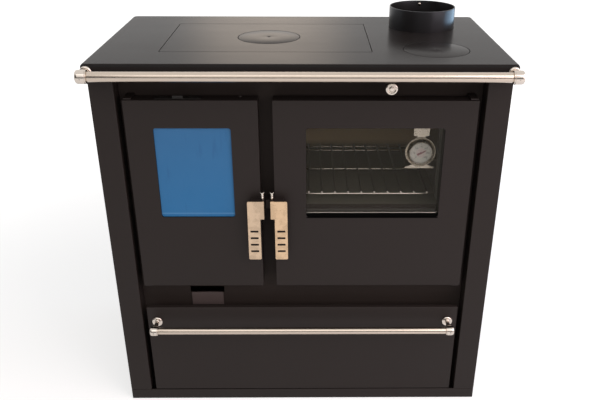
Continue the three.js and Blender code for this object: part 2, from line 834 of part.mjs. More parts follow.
// round back plate with a foot below and a hook above, and the drum that holds the dial
function thermometerCase() {
  const plateFront = caseBackY - casePlate;
  const disc = rodY(caseRadius, dialCentreX, dialCentreZ, plateFront, caseBackY, largeSides);
  const drum = turned([
    [drumRadius - drumWall, casePlate / 2],
    [drumRadius, casePlate / 2],
    [drumRadius, drumDepth - drumEdge],
    [drumRadius - drumEdge, drumDepth],
    [drumRadius - drumWall, drumDepth],
    [drumRadius - drumWall, casePlate / 2],
  ], largeSides).applyMatrix4(LATHE_TO_FRONT).translate(dialCentreX, caseBackY, dialCentreZ);
  const footZ = dialCentreZ - caseRadius - footDrop;
  const foot = prismY(outline([
    [dialCentreX - footWidth / 2, footZ],
    [dialCentreX + footWidth / 2, footZ],
    [dialCentreX + footWidth / 2 - footHeight, footZ + footHeight],
    [dialCentreX + footShoulderWidth / 2, footZ + footShoulderHeight],
    [dialCentreX - footShoulderWidth / 2, footZ + footShoulderHeight],
    [dialCentreX - footWidth / 2 + footHeight, footZ + footHeight],
  ]), plateFront, caseBackY);
  const hookTop = upperBarZ + rackBarRadius + seat + casePlate;
  const hookBackY = caseBackY + 2 * (rackBarRadius + seat);
  const neck = block(dialCentreX - neckWidth / 2, dialCentreX + neckWidth / 2, plateFront, caseBackY,
    dialCentreZ + caseRadius - neckSink, hookTop);
  const face = block(dialCentreX - hookWidth / 2, dialCentreX + hookWidth / 2, plateFront, caseBackY,
    dialCentreZ + hookPlateRise, hookTop);
  const tongueLeft = tongueX - tongueWidth / 2;
  const tongueRight = tongueX + tongueWidth / 2;
  const over = block(tongueLeft, tongueRight, plateFront, hookBackY + casePlate,
    hookTop - casePlate, hookTop);
  const tip = block(tongueLeft, tongueRight, hookBackY, hookBackY + casePlate,
    upperBarZ - rackBarRadius, hookTop);
  return join(disc, drum, foot, neck, face, over, tip);
}

const dialBackY = caseBackY - casePlate - seat;
const dialFrontY = dialBackY - dialDepth;
const needleBackY = dialFrontY - needleLift;

// the pointer is balanced about its hub
function needle() {
  const arm = outline([
    [-needleTailHalf, -needleTail],
    [needleTailHalf, -needleTail],
    [needleWaistHalf, 0],
    [needleTipHalf, needleLength],
    [-needleTipHalf, needleLength],
    [-needleWaistHalf, 0],
  ]);
  const blade = prismY(arm, -needleThickness, 0);
  const hub = rodY(needleHubRadius, 0, 0, -needleThickness, needleLift - seat, smallSides);
  const turnedBlade = join(blade, hub).rotateY((needleAngle * Math.PI) / 180);
  return turnedBlade.translate(dialCentreX, needleBackY, dialCentreZ);
}

function buildThermometer() {
  add('thermometer_case', thermometerCase(), stainless);
  const faceRadius = drumRadius - drumWall - dialClearance;
  add('thermometer_dial', rodY(faceRadius, dialCentreX, dialCentreZ, dialFrontY, dialBackY, largeSides),
    dialPaper);
  add('thermometer_needle', needle(), redPaint);
}

// ---------------------------------------------------------------- doors

function windowOf(centreX, width, height, grow) {
  return roundedRect(centreX - width / 2 - grow, centreX + width / 2 + grow,
    windowTop - height - grow, windowTop + grow, windowRadius);
}

// folded sheet door: a face with flanges turned back all round
function doorSkin(door, windowX, windowWidth, windowHeight, hingeX) {
  const outer = block(door.left, door.right, frontY, frontY + doorDepth, doorBottom, doorTop);
  const inner = block(door.left + doorSheet, door.right - doorSheet,
    frontY + doorSheet, frontY + doorDepth + overrun, doorBottom + doorSheet, doorTop - doorSheet);
  const opening = prismY(windowOf(windowX, windowWidth, windowHeight, 0),
    frontY - overrun, frontY + doorSheet + overrun);
  const pinHole = rodZ(hingePinRadius + pinFree, hingeX, frontY + hingeInset,
    doorBottom - overrun, doorTop + overrun, smallSides);
  return cut(outer, inner, opening, pinHole);
}

// inner frame: closes the door's back and holds the glass with a deep reveal
function doorFrame(door, windowX, windowWidth, windowHeight) {
  const gap = doorSheet + seat;
  const backY0 = frontY + doorDepth - innerFrameThickness;
  const plate = block(door.left + gap, door.right - gap, backY0, frontY + doorDepth,
    doorBottom + gap, doorTop - gap);
  const revealFrontY = frontY + doorSheet + glassThickness + 2 * seat;
  const reveal = prismY(windowOf(windowX, windowWidth, windowHeight, revealClearance + revealWall),
    revealFrontY, backY0 + innerFrameThickness / 2);
  const through = prismY(windowOf(windowX, windowWidth, windowHeight, revealClearance),
    frontY, frontY + doorDepth + overrun);
  return cut(join(plate, reveal), through);
}

function doorGlass(windowX, windowWidth, windowHeight) {
  const y0 = frontY + doorSheet + seat;
  return prismY(windowOf(windowX, windowWidth, windowHeight, glassBorder), y0, y0 + glassThickness);
}

function gasket(x0, x1, z0, z1) {
  const radius = gasketOffset;
  const ring = roundedRect(x0 - gasketOffset - gasketWidth, x1 + gasketOffset + gasketWidth,
    z0 - gasketOffset - gasketWidth, z1 + gasketOffset + gasketWidth, radius + gasketWidth);
  ring.holes.push(roundedRect(x0 - gasketOffset, x1 + gasketOffset,
    z0 - gasketOffset, z1 + gasketOffset, radius));
  return prismY(ring, frontY + doorDepth + seat, plateFrontY - seat);
}

// lug fixed to the recessed plate, with a pin that enters the door's edge
function hingeLug(hingeX, doorEdgeZ, direction, gap) {
  const near = doorEdgeZ + direction * gap;
  const far = near + direction * hingeLugThickness;
  const lug = block(hingeX - hingeLugHalfWidth, hingeX + hingeLugHalfWidth,
    frontY + hingeInset - hingeLugHalfWidth, plateFrontY - seat, Math.min(near, far), Math.max(near, far));
  const tip = doorEdgeZ - direction * hingePinLength;
  const pin = rodZ(hingePinRadius, hingeX, frontY + hingeInset,
    Math.min(tip, far), Math.max(tip, far), smallSides);
  return join(lug, pin);
}

function buildHinges(prefix, hingeX) {
  add(`${prefix}_hinge_top`, hingeLug(hingeX, doorTop, 1, hingeTopGap), blackPaint);
  add(`${prefix}_hinge_bottom`, hingeLug(hingeX, doorBottom, -1, seat), blackPaint);
}

function addRegulatorSlots(skin, centreX) {
  const y0 = frontY + regulatorSetback + (regulatorDepth - airHoleDepth) / 2;
  const holes = [];
  for (let i = 0; i < airHoleCount; i += 1) {
    const x = centreX + (i - (airHoleCount - 1) / 2) * airHolePitch;
    holes.push(block(x - airHoleLength / 2, x + airHoleLength / 2, y0, y0 + airHoleDepth,
      doorTop - doorSheet - overrun, doorTop + overrun));
  }
  return cut(skin, ...holes);
}

// perforated strip that slides on the door's top edge to set the secondary air
function airRegulator(centreX) {
  const z0 = doorTop + seat;
  const y0 = frontY + regulatorSetback;
  const holeY = y0 + (regulatorDepth - airHoleDepth) / 2;
  const strip = block(centreX - regulatorLength / 2, centreX + regulatorLength / 2,
    y0, y0 + regulatorDepth, z0, z0 + regulatorThickness);
  const tab = block(centreX - regulatorTabWidth / 2, centreX + regulatorTabWidth / 2,
    y0, y0 + regulatorThickness, z0, z0 + regulatorThickness + regulatorTabHeight);
  const holes = [];
  for (let i = 0; i < airHoleCount; i += 1) {
    const x = centreX + (i - (airHoleCount - 1) / 2) * airHolePitch;
    holes.push(block(x - airHoleLength / 2, x + airHoleLength / 2, holeY, holeY + airHoleDepth,
      z0 - overrun, z0 + regulatorThickness + overrun));
  }
  return join(cut(strip, ...holes), tab);
}

function buildFireDoor() {
  const hingeX = fireDoor.left + hingeInset;
  const skin = doorSkin(fireDoor, fireCentreX, fireWindowWidth, fireWindowHeight, hingeX);
  add('fire_door', addRegulatorSlots(skin, fireCentreX + regulatorShift), blackPaint);
  add('fire_door_frame', doorFrame(fireDoor, fireCentreX, fireWindowWidth, fireWindowHeight), castIron);
  add('fire_door_glass', doorGlass(fireCentreX, fireWindowWidth, fireWindowHeight), blueGlass);
  add('fire_door_gasket', gasket(chamberLeft, chamberRight, fireOpeningBottom + gasketOffset, openingTop),
    ropeSeal);
  add('air_regulator', airRegulator(fireCentreX + regulatorShift), blackPaint);
  buildHinges('fire_door', hingeX);
}

function buildOvenDoor() {
  const windowX = (ovenDoor.left + ovenDoor.right) / 2 + ovenWindowShift;
  const hingeX = ovenDoor.right - hingeInset;
  add('oven_door', doorSkin(ovenDoor, windowX, ovenWindowWidth, ovenWindowHeight, hingeX), blackPaint);
  add('oven_door_frame', doorFrame(ovenDoor, windowX, ovenWindowWidth, ovenWindowHeight), castIron);
  add('oven_door_glass', doorGlass(windowX, ovenWindowWidth, ovenWindowHeight), clearGlass);
  add('oven_door_gasket', gasket(ovenLeft, ovenRight, ovenFloor, ovenTop), ropeSeal);
  buildHinges('oven_door', hingeX);
}

// ---------------------------------------------------------------- handles

const handleTop = doorBottom + handleTopRise;
const handleBlockBottom = handleTop - handleBlockHeight;
const handleBottom = handleTop - handleHeight;
const handleInnerX = doorGapCentreX - handleEdgeToGapCentre;
const handleOuterX = handleInnerX - handleThickness - handleWidth;
const handleFrontY = frontY - handleStandoff - handleThickness;
const pinX = handleInnerX - handleThickness - seat;
const pinY = frontY - pinStandoff;
const knuckleTop = handleTop - bracketPlate - 2 * seat;

// pressed plate with grip slots, a flange turned back into the gap between the doors and a knuckle
function handle() {
  const gripX = handleOuterX + handleGripWidth;
  const r = handleCornerRadius;
  const plate = new THREE.Shape();
  plate.moveTo(handleOuterX + r, handleBottom);
  plate.lineTo(gripX - r, handleBottom);
  plate.absarc(gripX - r, handleBottom + r, r, -Math.PI / 2, 0, false);
  plate.lineTo(gripX, handleBlockBottom);
  plate.lineTo(handleInnerX, handleBlockBottom);
  plate.lineTo(handleInnerX, handleTop);
  plate.lineTo(handleOuterX + r, handleTop);
  plate.absarc(handleOuterX + r, handleTop - r, r, Math.PI / 2, Math.PI, false);
  plate.lineTo(handleOuterX, handleBottom + r);
  plate.absarc(handleOuterX + r, handleBottom + r, r, Math.PI, 1.5 * Math.PI, false);
  const slotX = handleOuterX + handleGripWidth / 2 - handleSlotWidth / 2;
  for (let i = 0; i < handleSlotCount; i += 1) {
    const z = handleBottom + handleSlotRise + i * handleSlotPitch;
    plate.holes.push(roundedRect(slotX, slotX + handleSlotWidth,
      z - handleSlotHeight / 2, z + handleSlotHeight / 2, handleSlotRadius));
  }
  const face = prismY(plate, handleFrontY, handleFrontY + handleThickness);
  const flange = block(handleInnerX - handleThickness, handleInnerX, handleFrontY,
    handleFrontY + handleThickness + handleFlangeDepth, handleBlockBottom, knuckleTop);
  const knuckle = rodZ(knuckleRadius, pinX, pinY, handleBlockBottom, knuckleTop, roundSides);
  const web = block(pinX - knuckleRadius, pinX, handleFrontY + handleThickness / 2, pinY,
    handleBlockBottom, knuckleTop);
  const bore = rodZ(pinRadius + pinFree, pinX, pinY, handleBlockBottom - overrun, knuckleTop + overrun,
    smallSides);
  return cut(join(face, flange, knuckle, web), bore);
}

// base on the door's face with a lug above and a lug below the handle's knuckle
function handleBracket() {
  const backY0 = frontY - seat;
  const baseRight = fireDoor.right - seat;
  const lugFront = pinY - knuckleRadius;
  const top = knuckleTop + seat;
  const bottom = handleBlockBottom - seat;
  const base = block(baseRight - bracketWidth, baseRight, backY0 - bracketPlate, backY0,
    bottom - bracketPlate, top + bracketPlate);
  const lug = (z0) => block(baseRight - bracketWidth, pinX + knuckleRadius, lugFront, backY0,
    z0, z0 + bracketPlate);
  const bore = rodZ(pinRadius + pinFree, pinX, pinY, bottom - 2 * bracketPlate, top + 2 * bracketPlate,
    smallSides);
  return cut(join(base, lug(top), lug(bottom - bracketPlate)), bore);
}

// pivot pin with a beaded head whose two legs are spread apart at the top
function handlePin() {
  const head = knuckleTop + 2 * seat + bracketPlate;
  const tail = handleBlockBottom - 2 * seat - bracketPlate;
  const groove = head + pinBeadHeight;
  const upperBead = groove + 2 * pinGrooveHeight;
  const neck = upperBead + pinBeadHeight + pinGrooveHeight;
  const shaft = turned([
    [0, tail],
    [pinRadius, tail],
    [pinRadius, head],
    [pinBeadRadius, head],
    [pinBeadRadius, groove],
    [pinRadius, groove + pinGrooveHeight],
    [pinBeadRadius, upperBead],
    [pinBeadRadius, upperBead + pinBeadHeight],
    [pinRadius, neck],
    [0, neck],
  ], smallSides).applyMatrix4(LATHE_TO_Z).translate(pinX, pinY, 0);
  const leg = prismY(outline([
    [pinX, neck - pinWingSink],
    [pinX + pinRadius, neck - pinWingSink],
    [pinX + pinWingSpread, neck + pinWingHeight],
    [pinX + pinWingSpread - pinRadius, neck + pinWingHeight],
  ]), pinY - pinRadius, pinY + pinRadius);
  return join(shaft, leg, mirrored(leg, pinX));
}

function keeper() {
  const z0 = (handleTop + handleBlockBottom) / 2 - keeperHeight / 2;
  return block(doorGapCentreX - keeperWidth / 2, doorGapCentreX + keeperWidth / 2,
    plateFrontY - seat - keeperReach, plateFrontY - seat, z0, z0 + keeperHeight);
}

function buildHandles() {
  const pieces = [
    ['handle', handle(), stainless],
    ['handle_bracket', handleBracket(), blackPaint],
    ['handle_pin', handlePin(), stainless],
  ];
  for (const [name, geometry, material] of pieces) {
    add(`fire_${name}`, geometry, material);
    add(`oven_${name}`, mirrored(geometry, doorGapCentreX), material);
  }
  add('latch_keeper', keeper(), blackPaint);
}

// ---------------------------------------------------------------- drawer

function drawerFront() {
  const outer = block(-drawerHalf, drawerHalf, frontY, frontY + drawerFrontDepth,
    drawerFrontBottom, drawerFrontTop);
  const inner = block(-drawerHalf + sheet, drawerHalf - sheet,
    frontY + sheet, frontY + drawerFrontDepth + overrun,
    drawerFrontBottom + sheet, drawerFrontTop - sheet);
  return cut(outer, inner);
}

// open tray with a front flange that closes the back of the drawer front
function drawerBox() {
  const half = drawerBoxHalf;
  const gap = sheet + seat;
  const y0 = frontY + drawerFrontDepth;
  const y1 = rearPanelFrontY - drawerBackGap;
  const tray = cut(
    block(-half, half, y0 - drawerWall, y1, drawerBoxBottom, drawerBoxTop),
    block(-half + drawerWall, half - drawerWall, y0, y1 - drawerWall,
      drawerBoxBottom + drawerWall, drawerBoxTop + overrun),
  );
  const flange = block(-drawerHalf + gap, drawerHalf - gap, y0 - drawerWall, y0,
    drawerFrontBottom + gap, drawerFrontTop - gap);
  return join(tray, flange);
}

function drawerRunner() {
  const top = drawerBoxBottom - seat;
  const inner = drawerBoxHalf - runnerSideInset;
  return block(inner, inner + runnerWidth, chamberFrontY, rearPanelFrontY - seat, top - runnerHeight, top);
}

function buildDrawer() {
  add('drawer_front', drawerFront(), blackPaint);
  add('drawer_box', drawerBox(), galvanised);
  add('drawer_runner_right', drawerRunner(), galvanised);
  add('drawer_runner_left', mirrored(drawerRunner(), 0), galvanised);
  const postX = drawerHalf - drawerPostInset;
  const railZ = drawerFrontTop - drawerRailDrop;
  const bracket = railBracket(frontY, postX, railZ, drawerRailReach,
    drawerRosetteRadius, drawerBarrelRadius, drawerBarrelLength, drawerRailRadius);
  add('drawer_rail', railBar(frontY, postX, railZ, drawerRailReach, drawerBarrelLength, drawerRailRadius),
    stainless);
  add('drawer_rail_bracket_right', bracket, chrome);
  add('drawer_rail_bracket_left', mirrored(bracket, 0), chrome);
}

// ---------------------------------------------------------------- damper and air shutter

const baffleBottom = stoveHeight - baffleDrop;
const baffleTop = baffleBottom + sheet;
const damperPlateFrontY = frontY + damperPlateSetback;
const damperPlateBottom = baffleTop + seat;
const knobFrontY = frontY - knobFrontReach;
const knobBackY = knobFrontY + knobLength;

// shelf over the oven with a by-pass opening under the damper plate
function smokeBaffle() {
  const half = damperPlateWidth / 2 - damperOverlap;
  return cut(
    block(ovenLeft, innerHalfWidth, chamberFrontY, rearPanelFrontY - seat, baffleBottom, baffleTop),
    block(damperX - half, damperX + half, damperPlateFrontY + damperOverlap,
      damperPlateFrontY + damperPlateDepth - damperOverlap, baffleBottom - overrun, baffleTop + overrun),
  );
}

// plate, upright lug and operating rod, welded together
function damper() {
  const half = damperPlateWidth / 2;
  const plate = block(damperX - half, damperX + half, damperPlateFrontY,
    damperPlateFrontY + damperPlateDepth, damperPlateBottom, damperPlateBottom + sheet);
  const lugHalf = damperLugWidth / 2;
  const lug = block(damperX - lugHalf, damperX + lugHalf,
    damperPlateFrontY, damperPlateFrontY + sheet, damperPlateBottom, damperZ + lugHalf);
  const rod = rodY(damperRodRadius, damperX, damperZ, knobBackY - damperRodSink,
    damperPlateFrontY + sheet / 2, smallSides);
  return join(plate, lug, rod);
}

function damperKnob() {
  const knob = turned([
    [0, 0],
    [knobRadius - knobEdge, 0],
    [knobRadius - knobShoulder, knobCrown],
    [knobRadius, knobEdge],
    [knobRadius, knobLength - knobEdge],
    [knobRadius - knobShoulder, knobLength - knobCrown],
    [knobRadius - knobEdge, knobLength],
    [0, knobLength],
  ]).applyMatrix4(LATHE_TO_FRONT).translate(damperX, knobBackY, damperZ);
  const bore = rodY(damperRodRadius + seat, damperX, damperZ,
    knobBackY - damperRodSink - seat, knobBackY + overrun, smallSides);
  return cut(knob, bore);
}

// grip plate in front of the recessed plate, and a leaf behind it that closes the slot when raised
function airShutter() {
  const centred = (width, y0, y1, z0, z1) => block(
    fireCentreX - width / 2, fireCentreX + width / 2, y0, y1, z0, z1);
  const gripBack = plateFrontY - seat;
  const leafFront = plateBackY + seat;
  const leafBottom = shutterBottom + shutterLeafRise;
  const stemBottom = shutterBottom + shutterStemRise;
  return join(
    centred(shutterWidth, gripBack - shutterThickness, gripBack, shutterBottom, shutterTop),
    centred(shutterStemWidth, gripBack - shutterThickness / 2, leafFront + shutterThickness / 2,
      stemBottom, stemBottom + shutterStemHeight),
    centred(airSlotWidth + 2 * shutterLeafOverlap, leafFront, leafFront + shutterThickness,
      leafBottom, leafBottom + shutterLeafHeight),
  );
}

function buildControls() {
  add('smoke_baffle', smokeBaffle(), castIron);
  add('damper', damper(), galvanised);
  add('damper_knob', damperKnob(), chrome);
  add('air_shutter', airShutter(), blackPaint);
}

buildBody();
buildHob();
buildTopRail();
buildFireChamber();
buildOven();
buildThermometer();
buildFireDoor();
buildOvenDoor();
buildHandles();
buildDrawer();
buildControls();

export default group;
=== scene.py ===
import json
import math

import bmesh
import bpy
import numpy as np
from bpy.props import FloatProperty, FloatVectorProperty, IntProperty, PointerProperty
from mathutils import Matrix, Vector


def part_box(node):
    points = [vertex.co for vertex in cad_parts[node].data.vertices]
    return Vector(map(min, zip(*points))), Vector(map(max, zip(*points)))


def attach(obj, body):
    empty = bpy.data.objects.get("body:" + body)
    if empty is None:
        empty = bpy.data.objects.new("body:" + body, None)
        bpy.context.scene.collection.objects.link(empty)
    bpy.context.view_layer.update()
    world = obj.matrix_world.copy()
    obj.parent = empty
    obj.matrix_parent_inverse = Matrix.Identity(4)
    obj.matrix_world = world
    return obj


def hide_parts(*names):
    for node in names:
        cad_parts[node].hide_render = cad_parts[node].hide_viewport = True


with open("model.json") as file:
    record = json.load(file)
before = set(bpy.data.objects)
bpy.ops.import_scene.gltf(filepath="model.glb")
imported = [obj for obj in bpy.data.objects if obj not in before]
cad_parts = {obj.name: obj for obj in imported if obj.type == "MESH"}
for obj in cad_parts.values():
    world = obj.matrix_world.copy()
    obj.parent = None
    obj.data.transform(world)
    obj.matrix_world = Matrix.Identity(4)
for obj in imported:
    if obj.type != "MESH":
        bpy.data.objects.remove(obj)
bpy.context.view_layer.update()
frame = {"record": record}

bl_info = {
    "name": "Wood cookstove",
    "version": (1, 0, 0),
    "blender": (4, 5, 0),
    "location": "View3D > Sidebar > Cookstove",
    "description": "Dresses the wood cookstove's frame: enamel, steel, glass, rails and inner pieces",
    "category": "Add Mesh",
}

MM = 0.001

# ------------------------------------------------------------------ places taken from the frame


def box_of(node):
    """The node's low corner, high corner and middle, in metres."""
    low, high = (np.array(corner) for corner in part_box(node))
    return low, high, (low + high) / 2


def inset(node, places):
    """How far each place lies inside the node's box, along each axis."""
    low, high, _ = box_of(node)
    return np.minimum(places - low, high - places)


def body_of(node):
    for body, nodes in frame["record"]["behaviour"]["bodies"].items():
        if node in nodes:
            return body
    raise RuntimeError(f"no body holds the node {node}")


# ------------------------------------------------------------------ colour and node helpers


def linear(hex_colour):
    """sRGB hex to linear RGBA: c/12.92 below 0.04045, else ((c + 0.055)/1.055)^2.4."""
    value = hex_colour.lstrip("#")
    parts = [int(value[i:i + 2], 16) / 255 for i in (0, 2, 4)]
    return [c / 12.92 if c <= 0.04045 else ((c + 0.055) / 1.055) ** 2.4 for c in parts] + [1.0]


def scaled(hex_colour, share):
    """A colour made linear and multiplied by a share, with no channel above 1."""
    return [min(1, c * share) for c in linear(hex_colour)[:3]] + [1]


def per_mm(size_mm):
    """Pattern scale, in repeats a metre, of a feature of this size in millimetres."""
    return 1000.0 / size_mm


def add_node(tree, kind, inputs=None, output=0, **settings):
    """Adds a shader node, sets its properties, fills each input with a value, a hex colour or a link from another
    node's output, and returns the output asked for."""
    made = tree.nodes.new(f"ShaderNode{kind}")
    for key, value in settings.items():
        setattr(made, key, value)
    for key, value in (inputs or {}).items():
        if isinstance(value, bpy.types.NodeSocket):
            tree.links.new(value, made.inputs[key])
        else:
            made.inputs[key].default_value = linear(value) if isinstance(value, str) else value
    return made.outputs[output] if len(made.outputs) else None


def object_point(tree, stretch=(1, 1, 1)):
    """The place on the piece, in metres, with each axis stretched by its own factor."""
    return add_node(tree, "Mapping", {"Vector": add_node(tree, "TexCoord", None, "Object"), "Scale": stretch})


def seen_directly(tree):
    """1 for a ray from the camera or through glass."""
    camera = add_node(tree, "LightPath", None, "Is Camera Ray")
    through = add_node(tree, "LightPath", None, "Is Transmission Ray")
    return add_node(tree, "Math", {0: camera, 1: through}, operation="MAXIMUM")


def new_material(name):
    material = bpy.data.materials.new(name)
    material.use_nodes = True
    material.node_tree.nodes.clear()
    return material, material.node_tree


def surface(default_name):
    """Turns a recipe, which adds pattern nodes to a tree and returns the Principled shader's inputs, into a
    function that takes a name and the recipe's settings, and makes each name's material once."""
    def wrap(recipe):
        def make(name=default_name, *settings):
            material = bpy.data.materials.get(name)
            if material is None:
                material, tree = new_material(name)
                shader = add_node(tree, "BsdfPrincipled", recipe(tree, *settings))
                add_node(tree, "OutputMaterial", {"Surface": shader})
            return material
        make.__doc__ = recipe.__doc__
        return make
    return wrap


# ------------------------------------------------------------------ materials
# A Map Range node that is given no From values reads 0 to 1. A Mix node's inputs 6 and 7 and its output 2 are
# colours.


@surface("satin_stove_paint")
def stove_paint(tree, colour="#27211f", roughness=0.48, specular=0.22):
    """Silicone stove paint, sprayed and baked: a satin black with a fine dry grain and soft cloudy gloss.
    The grain is about 0.3 mm in life and is drawn at 1.2 mm so that it shows."""
    grain = add_node(tree, "TexNoise", {"Vector": object_point(tree), "Scale": per_mm(1.2), "Detail": 3})
    cloud = add_node(tree, "TexNoise", {"Vector": object_point(tree), "Scale": per_mm(90), "Detail": 2})
    lighter = scaled(colour, 1.3)
    specks = add_node(tree, "MapRange", {0: grain, 3: -0.25, 4: 0.6})
    speckled = add_node(tree, "Mix", {0: specks, 6: colour, 7: lighter}, 2, data_type="RGBA")
    haze = add_node(tree, "MapRange", {0: cloud, 3: 0.0, 4: 0.6})
    return {
        "Base Color": add_node(tree, "Mix", {0: haze, 6: speckled, 7: lighter}, 2, data_type="RGBA"),
        "Roughness": add_node(tree, "MapRange", {0: cloud, 3: roughness - 0.07, 4: roughness + 0.07}),
        "Specular IOR Level": specular,
        "Normal": add_node(tree, "Bump", {"Height": grain, "Distance": 0.05 * MM, "Strength": 0.5}),
    }


@surface("blackened_hob_steel")
def hob_steel(tree):
    """Ground steel plate, blackened: a smooth grey sheen with broad smudges, faint grinding lines and scuffs.
    The outermost 4 mm, where the edge is rounded, is dull and darker."""
    smudge = add_node(tree, "TexNoise", {"Vector": object_point(tree), "Scale": per_mm(160), "Detail": 2})
    wiped = add_node(tree, "TexNoise", {
        "Vector": object_point(tree, (0.3, 1, 1)), "Scale": per_mm(45), "Detail": 2})
    lines = add_node(tree, "TexNoise", {
        "Vector": object_point(tree, (0.04, 1, 1)), "Scale": per_mm(2.0), "Detail": 2})
    rubbed = add_node(tree, "TexNoise", {
        "Vector": object_point(tree, (1, 0.12, 1)), "Scale": per_mm(5), "Detail": 2})
    scuff = add_node(tree, "MapRange", {0: rubbed, 1: 0.7, 2: 0.78, 3: 0.0, 4: 0.3})
    low, high, middle = box_of("hob_frame")
    reach = (high - low) * [0.5, 0.5, 1]
    place = add_node(tree, "TexCoord", None, "Object")
    offset = add_node(tree, "VectorMath", {0: place, 1: tuple(middle)}, operation="SUBTRACT")
    span = add_node(tree, "VectorMath", {0: offset}, operation="ABSOLUTE")
    beyond = add_node(tree, "VectorMath", {0: span, 1: tuple(reach)}, operation="SUBTRACT")
    beyond_x, beyond_y = (add_node(tree, "SeparateXYZ", {0: beyond}, axis) for axis in (0, 1))
    nearest = add_node(tree, "Math", {0: beyond_x, 1: beyond_y}, operation="MAXIMUM")
    # painted shade: the rim band's darker colour stands in for the dark reflection on the rounded edge
    rim = add_node(tree, "MapRange", {0: nearest, 1: -4.5 * MM, 2: -2.5 * MM})
    smudged = add_node(tree, "MapRange", {0: smudge, 3: 0.1, 4: 0.9})
    ground = add_node(tree, "Mix", {0: smudged, 6: "#242120", 7: "#2c2827"}, 2, data_type="RGBA")
    scuffed = add_node(tree, "Mix", {0: scuff, 6: ground, 7: "#5a5450"}, 2, data_type="RGBA")
    handled = add_node(tree, "Math", {0: smudge, 1: wiped}, operation="MULTIPLY")
    gloss = add_node(tree, "MapRange", {0: handled, 3: 0.2, 4: 0.3})
    return {
        "Base Color": add_node(tree, "Mix", {0: rim, 6: scuffed, 7: "#262322"}, 2, data_type="RGBA"),
        "Roughness": add_node(tree, "Math", {0: rim, 1: 0.45, 2: gloss}, operation="MULTIPLY_ADD"),
        "Specular IOR Level": 0.036,
        "Normal": add_node(tree, "Bump", {"Height": lines, "Distance": 0.02 * MM, "Strength": 0.12}),
    }


@surface("sand_cast_iron")
def cast_iron(tree, colour="#2a2826"):
    """Grey cast iron from a sand mould: matt, with a pebbled skin of about a millimetre."""
    grain = add_node(tree, "TexNoise", {"Vector": object_point(tree), "Scale": per_mm(1.6), "Detail": 4})
    rust = add_node(tree, "TexNoise", {"Vector": object_point(tree), "Scale": per_mm(35), "Detail": 4})
    rusty = add_node(tree, "MapRange", {0: rust, 3: 0.0, 4: 0.45})
    return {
        "Base Color": add_node(tree, "Mix", {0: rusty, 6: colour, 7: "#3a322c"}, 2, data_type="RGBA"),
        "Roughness": add_node(tree, "MapRange", {0: grain, 3: 0.62, 4: 0.85}),
        "Specular IOR Level": 0.3,
        "Normal": add_node(tree, "Bump", {"Height": grain, "Distance": 0.25 * MM, "Strength": 0.6}),
    }


@surface("satin_stainless")
def brushed_stainless(tree, colour="#cdbfb1", roughness=0.2, stretch=(0.03, 1, 1), mottle=0.0):
    """Stainless steel, belt-ground along its length: long fine lines, handled patches and a streaked highlight."""
    lines = add_node(tree, "TexNoise", {"Vector": object_point(tree, stretch), "Scale": per_mm(0.9), "Detail": 3})
    handled = add_node(tree, "TexNoise", {"Vector": object_point(tree), "Scale": per_mm(16), "Detail": 3})
    patches = add_node(tree, "MapRange", {0: handled, 1: 0.4, 2: 0.6})
    patched = add_node(tree, "Mix", {0: patches, 6: scaled(colour, 1 - mottle), 7: colour}, 2, data_type="RGBA")
    streaks = add_node(tree, "MapRange", {0: lines, 3: 0.0, 4: 0.5})
    return {
        "Base Color": add_node(tree, "Mix", {0: streaks, 6: patched, 7: scaled(colour, 0.8)}, 2, data_type="RGBA"),
        "Metallic": 1.0,
        "Roughness": add_node(tree, "MapRange", {0: handled, 3: roughness - 0.05, 4: roughness + 0.06}),
        "Normal": add_node(tree, "Bump", {"Height": lines, "Distance": 0.02 * MM, "Strength": 0.4}),
    }


@surface("bright_chrome")
def bright_chrome(tree, colour="#d6ccc2", roughness=0.07):
    """Chrome plate over polished steel: mirror bright, with a faint haze of fine scratches."""
    haze = add_node(tree, "TexNoise", {"Vector": object_point(tree), "Scale": per_mm(6), "Detail": 4})
    dulled = add_node(tree, "MapRange", {0: haze, 3: 0.0, 4: 0.3})
    return {
        "Base Color": add_node(tree, "Mix", {0: dulled, 6: colour, 7: "#b9b0a6"}, 2, data_type="RGBA"),
        "Metallic": 1.0,
        "Roughness": add_node(tree, "MapRange", {0: haze, 3: roughness, 4: roughness + 0.08}),
    }


@surface("galvanised_sheet")
def sheet_steel(tree, colour="#85807a", roughness=0.42):
    """Hot-dip galvanised sheet: dull grey metal with a spangle of flat crystals about 9 mm across."""
    spangle = add_node(tree, "TexVoronoi", {"Vector": object_point(tree), "Scale": per_mm(9)}, "Color")
    tone = add_node(tree, "RGBToBW", {0: spangle})
    return {
        "Base Color": add_node(tree, "Mix", {0: tone, 6: scaled(colour, 0.8), 7: colour}, 2, data_type="RGBA"),
        "Metallic": 0.85,
        "Roughness": add_node(tree, "MapRange", {0: tone, 3: roughness - 0.08, 4: roughness + 0.1}),
    }


